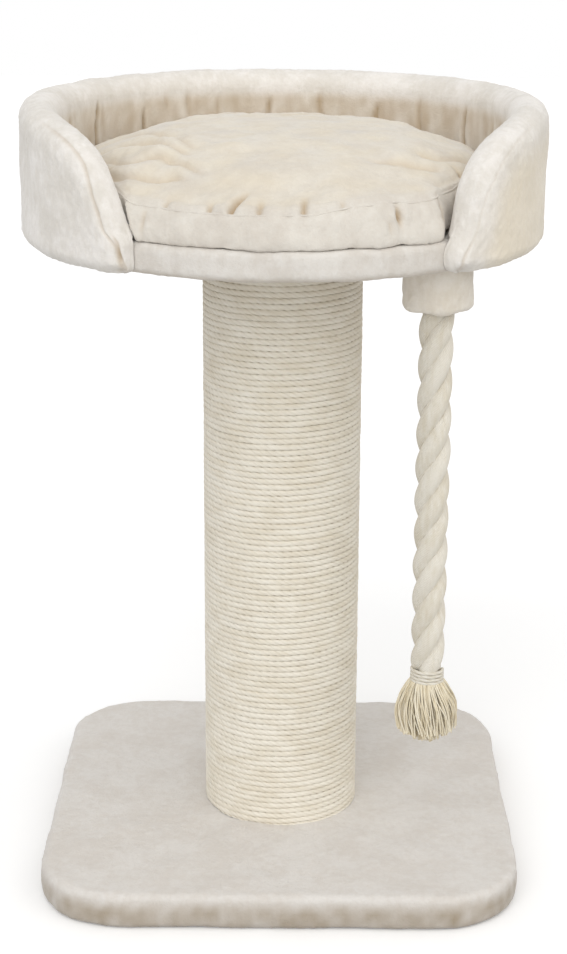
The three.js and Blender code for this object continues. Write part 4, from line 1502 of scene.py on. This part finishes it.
@dataclass
class RopeBlock:
    """The round block under the bed that holds the rope."""

    radius: float = 0.042
    low: float = 0.740
    high: float = 0.7996
    bore: float = 0.0216
    edge: float = 0.009
    columns: int = 150
    cloth: float = 0.0034
    lobes: float = 0.0011
    sunk: float = 0.0004
    pile: Pile = Pile(Waves(0.025, 0.06, 61), Waves(0.006, 0.013, 62, 40), 0.0006)

    def cover(self, finish: bpy.types.Material) -> bpy.types.Object:
        """Builds and dresses the cover.

        Args:
            finish: Its plush.

        Returns:
            The cover.
        """
        e, low, high = self.edge, self.low, self.high
        inner = self.radius - e
        rows = [(self.bore, low + 0.004), (self.bore + 0.0006, low + 0.0012)]
        rows += run((self.bore + 0.001, low), (inner, low), 5)
        rows += arc((inner, low + e), e, -90, 0, 9)
        rows += run((self.radius, low + e), (self.radius, high), 22)
        rows += [(self.radius, high)]
        piece = skin("block_cover_plush", lathe(np.array(rows), self.columns, ROPE_AXIS), True)

        def relief(p: np.ndarray) -> np.ndarray:
            """Height of the pile over the gathered cloth."""
            angle = np.arctan2(p[:, 1] - ROPE_AXIS[1], p[:, 0] - ROPE_AXIS[0])
            free = ramp(reach_of(p, ROPE_AXIS), self.bore, self.bore + 0.006)
            lobes = self.lobes * np.cos(5 * angle + 0.6) * (1 - ramp(p[:, 2], 0.745, 0.775))
            return free * (lobes + self.pile.at(p) - self.sunk)

        push(piece, relief)
        points = points_of(piece)
        # Painted shade in the bore's mouth and along the top edge under the platform.
        painted_shade = 0.6 * (1 - ramp(reach_of(points, ROPE_AXIS), self.bore, self.bore + 0.008))
        store(piece, "painted_shade", painted_shade + 0.3 * bell(points[:, 2] - high, 0.004))
        thicken(piece, self.cloth)
        dress(piece, finish, ("rope_block_cover",))
        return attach(piece, "root")


@dataclass
class HangingRope:
    """The three-strand cotton rope, its top in the block; its binding and tassel ride on the rope's
    body.
    """

    radius: float = 0.021
    strand: float = 0.0116
    top: float = 0.752
    parting: float = 0.702
    bottom: float = 0.2625
    rope_pivot: float = 0.648
    lead: float = 0.126
    phase: float = math.radians(-62.0)
    yarns: int = 28
    outside_points: int = 112
    inside_points: int = 12
    visible_angle: float = 115.0
    step: float = 0.0022
    tie_height: float = 0.2755
    tie_squeeze: float = 0.17
    tie_reach: float = 0.012
    twine: float = 0.0021
    twine_turns: float = 4.1
    twine_steps: int = 60
    twine_pitch: float = 0.0044
    twine_slope: float = 0.0014
    tassel_outer: int = 210
    tassel_inner: int = 150
    tassel_seed: int = 81
    tassel_top: float = 0.274
    tassel_tips: float = 0.1875
    tufts: int = 17
    yarn_points: int = 22
    yarn_radius: tuple[float, float] = (0.00075, 0.00105)

    def section(self) -> np.ndarray:
        """Places angles round one strand, close together on the side that shows.

        Returns:
            The angles.
        """
        seen = math.radians(self.visible_angle)
        outside = np.linspace(-seen, seen, self.outside_points)
        inside = np.linspace(seen, TAU - seen, self.inside_points + 2)[1:-1]
        return np.concatenate([outside, inside])

    def strands(self, name: str, low: float, high: float) -> bpy.types.Object:
        """Lays the three strands between two heights.

        Args:
            name: The piece's name.
            low: The lower end.
            high: The upper end.

        Returns:
            The strands as one mesh.
        """
        count = max(2, round((high - low) / self.step)) + 1
        height = np.linspace(low, high, count)
        tied = 1 - self.tie_squeeze * bell(height - self.tie_height, self.tie_reach)
        helix = (self.radius - self.strand) * tied
        slope = TAU * (self.radius - self.strand) / self.lead
        section = self.section()
        untwist = TAU / self.lead * self.radius / self.strand
        parts = []
        for i in range(3):
            turn = self.phase + height / self.lead * TAU + i * TAU / 3
            out = np.stack([np.cos(turn), np.sin(turn), np.zeros(count)], axis=1)
            lean = np.stack([-np.sin(turn) * slope, np.cos(turn) * slope, np.ones(count)], axis=1)
            lean /= np.linalg.norm(lean, axis=1)[:, None]
            ridge = self.yarns * (section[None] + height[:, None] * untwist + 0.4 * i)
            yarn = np.abs(np.cos(ridge / 2))
            centre = ring_points(ROPE_AXIS, helix, turn, height)
            swell = tied * (1 + 0.018 * Waves(0.02, 0.09, 70 + i).at(centre))
            radius = self.strand * swell[:, None] * (1 - 0.06 * (1 - yarn**0.7))
            rings = tube(centre, radius, section, out, np.cross(lean, out))
            part = skin(f"{name}{i}", rings, True, caps=True)
            # Painted shade on each strand's side that faces the others, and between its yarns.
            hidden_side_shade = ramp(-np.cos(section), 0.0, 0.30)[None]
            store(part, "painted_shade", np.clip(hidden_side_shade + 0.20 * bell(yarn, 0.3), 0, 0.95))
            store(part, "tone", np.full(yarn.size, 0.4 + 0.2 * i))
            parts.append(part)
        return joined(name, parts)

    def binding(self, finish: bpy.types.Material) -> bpy.types.Object:
        """Winds the twine round the rope's lower end.

        Args:
            finish: Its cotton.

        Returns:
            The twine.
        """
        centre = self.radius * (1 - self.tie_squeeze) + self.twine * 0.75
        t = np.arange(round(self.twine_turns * self.twine_steps) + 1) / self.twine_steps
        angle = t * TAU - 0.6
        tilt = self.twine_slope * np.cos(angle - math.radians(200))
        rise = (t - self.twine_turns / 2) * self.twine_pitch + tilt
        line = ring_points(ROPE_AXIS, centre, angle, self.tie_height + rise)
        section = np.arange(16) / 16 * TAU
        out = np.stack([np.cos(angle), np.sin(angle), np.zeros(len(t))], axis=1)
        ply = np.abs(np.cos(section[None] + t[:, None] * 55 / 2))
        up = np.tile([0.0, 0.0, 1.0], (len(t), 1))
        rings = tube(line, self.twine * (0.9 + 0.13 * ply), section, out, up)
        piece = skin("rope_binding_twine", rings, True, caps=True, back=True)
        # Painted shade between the twine's plies and on its side against the rope.
        store(piece, "painted_shade", 0.35 * bell(ply, 0.3) + 0.5 * ramp(-np.cos(section), -0.1, 0.8)[None])
        store(piece, "tone", np.full(ply.size, 0.7))
        dress(piece, finish, ("rope_binding",))
        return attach(piece, "rope")

    def yarn(self, name: str, rng: np.random.Generator, share: float | None) -> bpy.types.Object:
        """Makes one yarn of the tassel.

        Args:
            name: The yarn's name.
            rng: The source of its irregularity.
            share: Its place round the outside from 0 to 1, or None for one further in.

        Returns:
            The yarn as a closed tube.
        """
        spread = self.radius * (1 - self.tie_squeeze)
        if share is None:
            angle = rng.uniform(0, TAU)
            start = spread * math.sqrt(rng.uniform(0.05, 0.9))
            reach = start * rng.uniform(1.2, 1.95)
            deep = rng.uniform(0.1, 0.4)
        else:
            tuft = round(share * self.tufts) / self.tufts
            angle = (share * 0.7 + tuft * 0.3) * TAU + rng.normal(0, 0.06)
            start = spread * rng.uniform(0.86, 1.02)
            reach = rng.uniform(0.0300, 0.0395)
            deep = rng.uniform(0.0, 0.12)
        end = self.tassel_tips + 0.016 * (reach / 0.036) ** 2 + rng.uniform(0.0, 0.006)
        swirl = rng.normal(0.38, 0.17)
        wave, beat = rng.uniform(0.0003, 0.0011), rng.uniform(0, TAU)
        t = np.linspace(0, 1, 7)
        r = start + (reach - start) * np.sin(np.minimum(1.0, 1.4 * t) * math.pi / 2)
        r -= 0.0045 * np.maximum(0.0, t - 0.62)
        r += wave * np.sin(9 * t + beat) * np.minimum(1.0, 3 * t)
        z = self.tassel_top + (end - self.tassel_top) * t
        line = smooth_line(ring_points(ROPE_AXIS, r, angle + swirl * t, z), self.yarn_points)
        ahead = np.gradient(line, axis=0)
        ahead /= np.linalg.norm(ahead, axis=1)[:, None]
        first = np.cross(ahead, [math.sin(angle), -math.cos(angle), 0.05])
        first /= np.linalg.norm(first, axis=1)[:, None]
        section = np.arange(8) / 8 * TAU
        widening = 1 + 0.3 * np.linspace(0, 1, self.yarn_points) ** 4
        thick = rng.uniform(*self.yarn_radius) * widening
        ply = np.abs(np.sin(section[None] + np.arange(self.yarn_points)[:, None] * 0.75))
        radius = thick[:, None] * (1 - 0.14 * ply)
        rings = tube(line, radius, section, first, np.cross(ahead, first))
        part = skin(name, rings, True, caps=True)
        # Painted shade: stronger on yarns further in, as deep sets it, and between plies.
        store(part, "painted_shade", deep + 0.12 * ply)
        store(part, "tone", np.full(radius.size, rng.uniform(0, 1)))
        return part

    def tassel(self, finish: bpy.types.Material) -> bpy.types.Object:
        """Spreads the unlaid yarns below the binding.

        Args:
            finish: Their cotton.

        Returns:
            The tassel.
        """
        rng = np.random.default_rng(self.tassel_seed)
        shares = [i / self.tassel_outer for i in range(self.tassel_outer)]
        shares += [None] * self.tassel_inner
        parts = [self.yarn(f"yarn_{i}", rng, share) for i, share in enumerate(shares)]
        piece = joined("rope_tassel_yarns", parts)
        dress(piece, finish, ("rope_tassel",))
        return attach(piece, "rope")

    def build(self, finish: bpy.types.Material, loose_finish: bpy.types.Material) -> None:
        """Args:
            finish: The rope's cotton.
            loose_finish: The tassel's cotton.
        """
        upper = self.strands("rope_top", self.parting, self.top)
        dress(upper, finish, ("rope_neck", "rope_root"))
        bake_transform(upper)
        lower = self.strands("rope_length", self.bottom, self.parting)
        dress(lower, finish, ("rope",))
        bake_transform(lower)
        binding = self.binding(finish)
        tassel = self.tassel(loose_finish)


# ---------------------------------------------------------------- inner pieces and studio


@dataclass
class InnerPieces:
    """The boards, tube and fasteners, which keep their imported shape."""

    finishes: dict[Slot, bpy.types.Material]

    def build(self) -> None:
        """Gives every shown CAD node the finish of its slot."""
        for row in frame["record"]["subparts"]:
            for holder in frame["nodes"][row["node"]].material_slots:
                holder.link = "OBJECT"
                holder.material = self.finishes[Slot(row["material_slot"])]
        LOG.info("inner pieces: %d CAD nodes dressed", len(frame["nodes"]))


@dataclass(frozen=True)
class Lamp:
    """A broad, even lamp: its angles are in degrees, and a wide spread casts soft shadows."""

    name: str
    strength: float
    spread: float
    tilt: float
    turn: float
    tint: tuple[float, float, float]

    def hang(self) -> None:
        """Adds the lamp, tilted from straight down and turned from the front to the right."""
        data = bpy.data.lights.new(self.name, "SUN")
        data.color = self.tint
        data.energy = self.strength
        data.angle = math.radians(self.spread)
        lamp = bpy.data.objects.new(self.name, data)
        lamp.rotation_euler = (math.radians(self.tilt), 0.0, math.radians(self.turn))
        bpy.context.scene.collection.objects.link(lamp)


@dataclass
class Studio:
    """The camera, the lamps, the floor and the white surroundings."""

    place: tuple[float, float, float] = (0.01959, -2.52044, 1.27031)
    yaw: float = 0.007
    pitch: float = 0.302
    roll: float = 0.005
    lens: float = 77.44
    sky: float = 0.73
    floor_half: float = 9.0
    floor_height: float = -0.0006
    floor_grey: Colour = (0.62, 0.62, 0.62, 1.0)
    floor_glow: Colour = (0.10, 0.10, 0.10, 1.0)
    lamps: tuple[Lamp, ...] = (
        Lamp("key", 1.15, 55.0, 55.0, -13.0, (0.98, 0.99, 1.0)),
        Lamp("side", 0.45, 70.0, 64.0, 58.0, (1.0, 0.95, 0.86)),
    )

    def camera(self) -> None:
        """Makes the camera at the photograph's viewpoint."""
        cy, sy = math.cos(self.yaw), math.sin(self.yaw)
        cp, sp = math.cos(self.pitch), math.sin(self.pitch)
        cr, sr = math.cos(self.roll), math.sin(self.roll)
        ahead = np.array([-sy * cp, cy * cp, -sp])
        right = np.array([cy, sy, 0.0])
        above = np.array([-sy * sp, cy * sp, cp])
        x, y = cr * right + sr * above, cr * above - sr * right
        data = bpy.data.cameras.new("camera")
        data.lens = self.lens
        data.sensor_width = 36.0
        data.clip_start, data.clip_end = 0.05, 60.0
        camera = bpy.data.objects.new("camera", data)
        turned = Matrix((x, y, -ahead)).transposed().to_4x4()
        turned.translation = self.place
        camera.matrix_world = turned
        bpy.context.scene.collection.objects.link(camera)
        bpy.context.scene.camera = camera

    def seen(self, recipe: Recipe) -> Wire:
        """Finds the rays that show the surroundings, straight, mirrored or through glass.

        Args:
            recipe: The material or world that asks.

        Returns:
            1 for such rays and 0 for others.
        """
        kinds = ("Is Camera Ray", "Is Glossy Ray", "Is Transmission Ray")
        path = [recipe.node("ShaderNodeLightPath", output=name) for name in kinds]
        total = path[0] + path[1] + path[2]
        return recipe.node("ShaderNodeMath", {"operation": "MINIMUM"}, {0: total, 1: 1.0})

    def floor(self) -> None:
        """Lays the pale floor, which looks white where it shows and keeps the shadow."""
        h, z = self.floor_half, self.floor_height
        corners = np.array([[(-h, -h, z), (h, -h, z)], [(-h, h, z), (h, h, z)]])
        floor = skin("floor", corners, False)
        recipe = Recipe(bpy.data.materials.new("pale_floor"))
        seen = self.seen(recipe)
        finish = recipe.finish(
            Base_Color=recipe.mix(seen, self.floor_grey, WHITE),
            Roughness=1.0,
            Specular_IOR_Level=0.0,
            Emission_Color=recipe.mix(seen, BLACK, self.floor_glow),
            Emission_Strength=1.0,
        )
        floor.data.materials.append(finish)

    def surroundings(self) -> None:
        """Makes the even sky, which shows as white."""
        world = bpy.data.worlds.new("surroundings")
        bpy.context.scene.world = world
        recipe = Recipe(world)
        strength = self.seen(recipe) * (1.0 - self.sky) + self.sky
        shade = recipe.node("ShaderNodeBackground", {}, {"Color": WHITE, "Strength": strength})
        recipe.node("ShaderNodeOutputWorld", {}, {"Surface": shade})

    def build(self) -> None:
        """Makes the floor, the surroundings and the lamps."""
        self.floor()
        self.surroundings()
        for lamp in self.lamps:
            lamp.hang()
        bpy.context.scene.view_settings.view_transform = "Standard"


def main() -> None:
    """Builds the studio and every piece in order."""
    logging.basicConfig(level=logging.INFO, format="%(message)s")
    studio = Studio()
    studio.camera()
    # Lighter than the plush's default colours: painted light that offsets the shade under the
    # platform.
    plush = PlushFinish("block_plush", light="eee8de", shade="e2dacc").material()
    wall = PlushFinish("wall_plush", light="efebe6", shade="e0dbd3", painted_shade="b9a58a").material()
    platform = PlushFinish("platform_plush", light="e2ded8", shade="d5cfc7").material()
    base = PlushFinish("base_plush", light="dfdbd6", shade="d7d1ca", painted_shade="a3947f").material()
    cushion = PlushFinish("cushion_cloth", light="e1dcd3", shade="d5cec4", patch=0.09).material()
    cotton = CottonFinish().material()
    # Lighter than the rope's cotton: painted light that offsets the shade among the yarns.
    yarn = CottonFinish("loose_cotton", light="f4eddb", shade="e4d8bc", groove_shade="b8a373").material()
    sisal = SisalFinish().material()
    HangingRope().build(cotton, yarn)
    RopeBlock().cover(plush)
    Base().cover(base)
    SisalPost().build(sisal)
    Platform().cover(platform)
    BedWall().cover(wall)
    Cushion().build(cushion)
    board = ChipFinish("particle_board", "cdb48a", "8f7048", 0.0035, (1.0, 1.0, 2.0))
    card = ChipFinish("cardboard_tube", "c2a67c", "9c8058", 0.010, (1.0, 1.0, 0.15))
    InnerPieces(
        {
            Slot.PLUSH: plush,
            Slot.SISAL: sisal,
            Slot.COTTON: cotton,
            Slot.BOARD: board.material(),
            Slot.CARDBOARD: card.material(),
            Slot.FOAM: ChipFinish("padding", "f2efe6", "dedacb", 0.002).material(),
            Slot.STEEL: SteelFinish().material(),
        }
    ).build()
    studio.build()


if __name__ == "__main__":
    main()
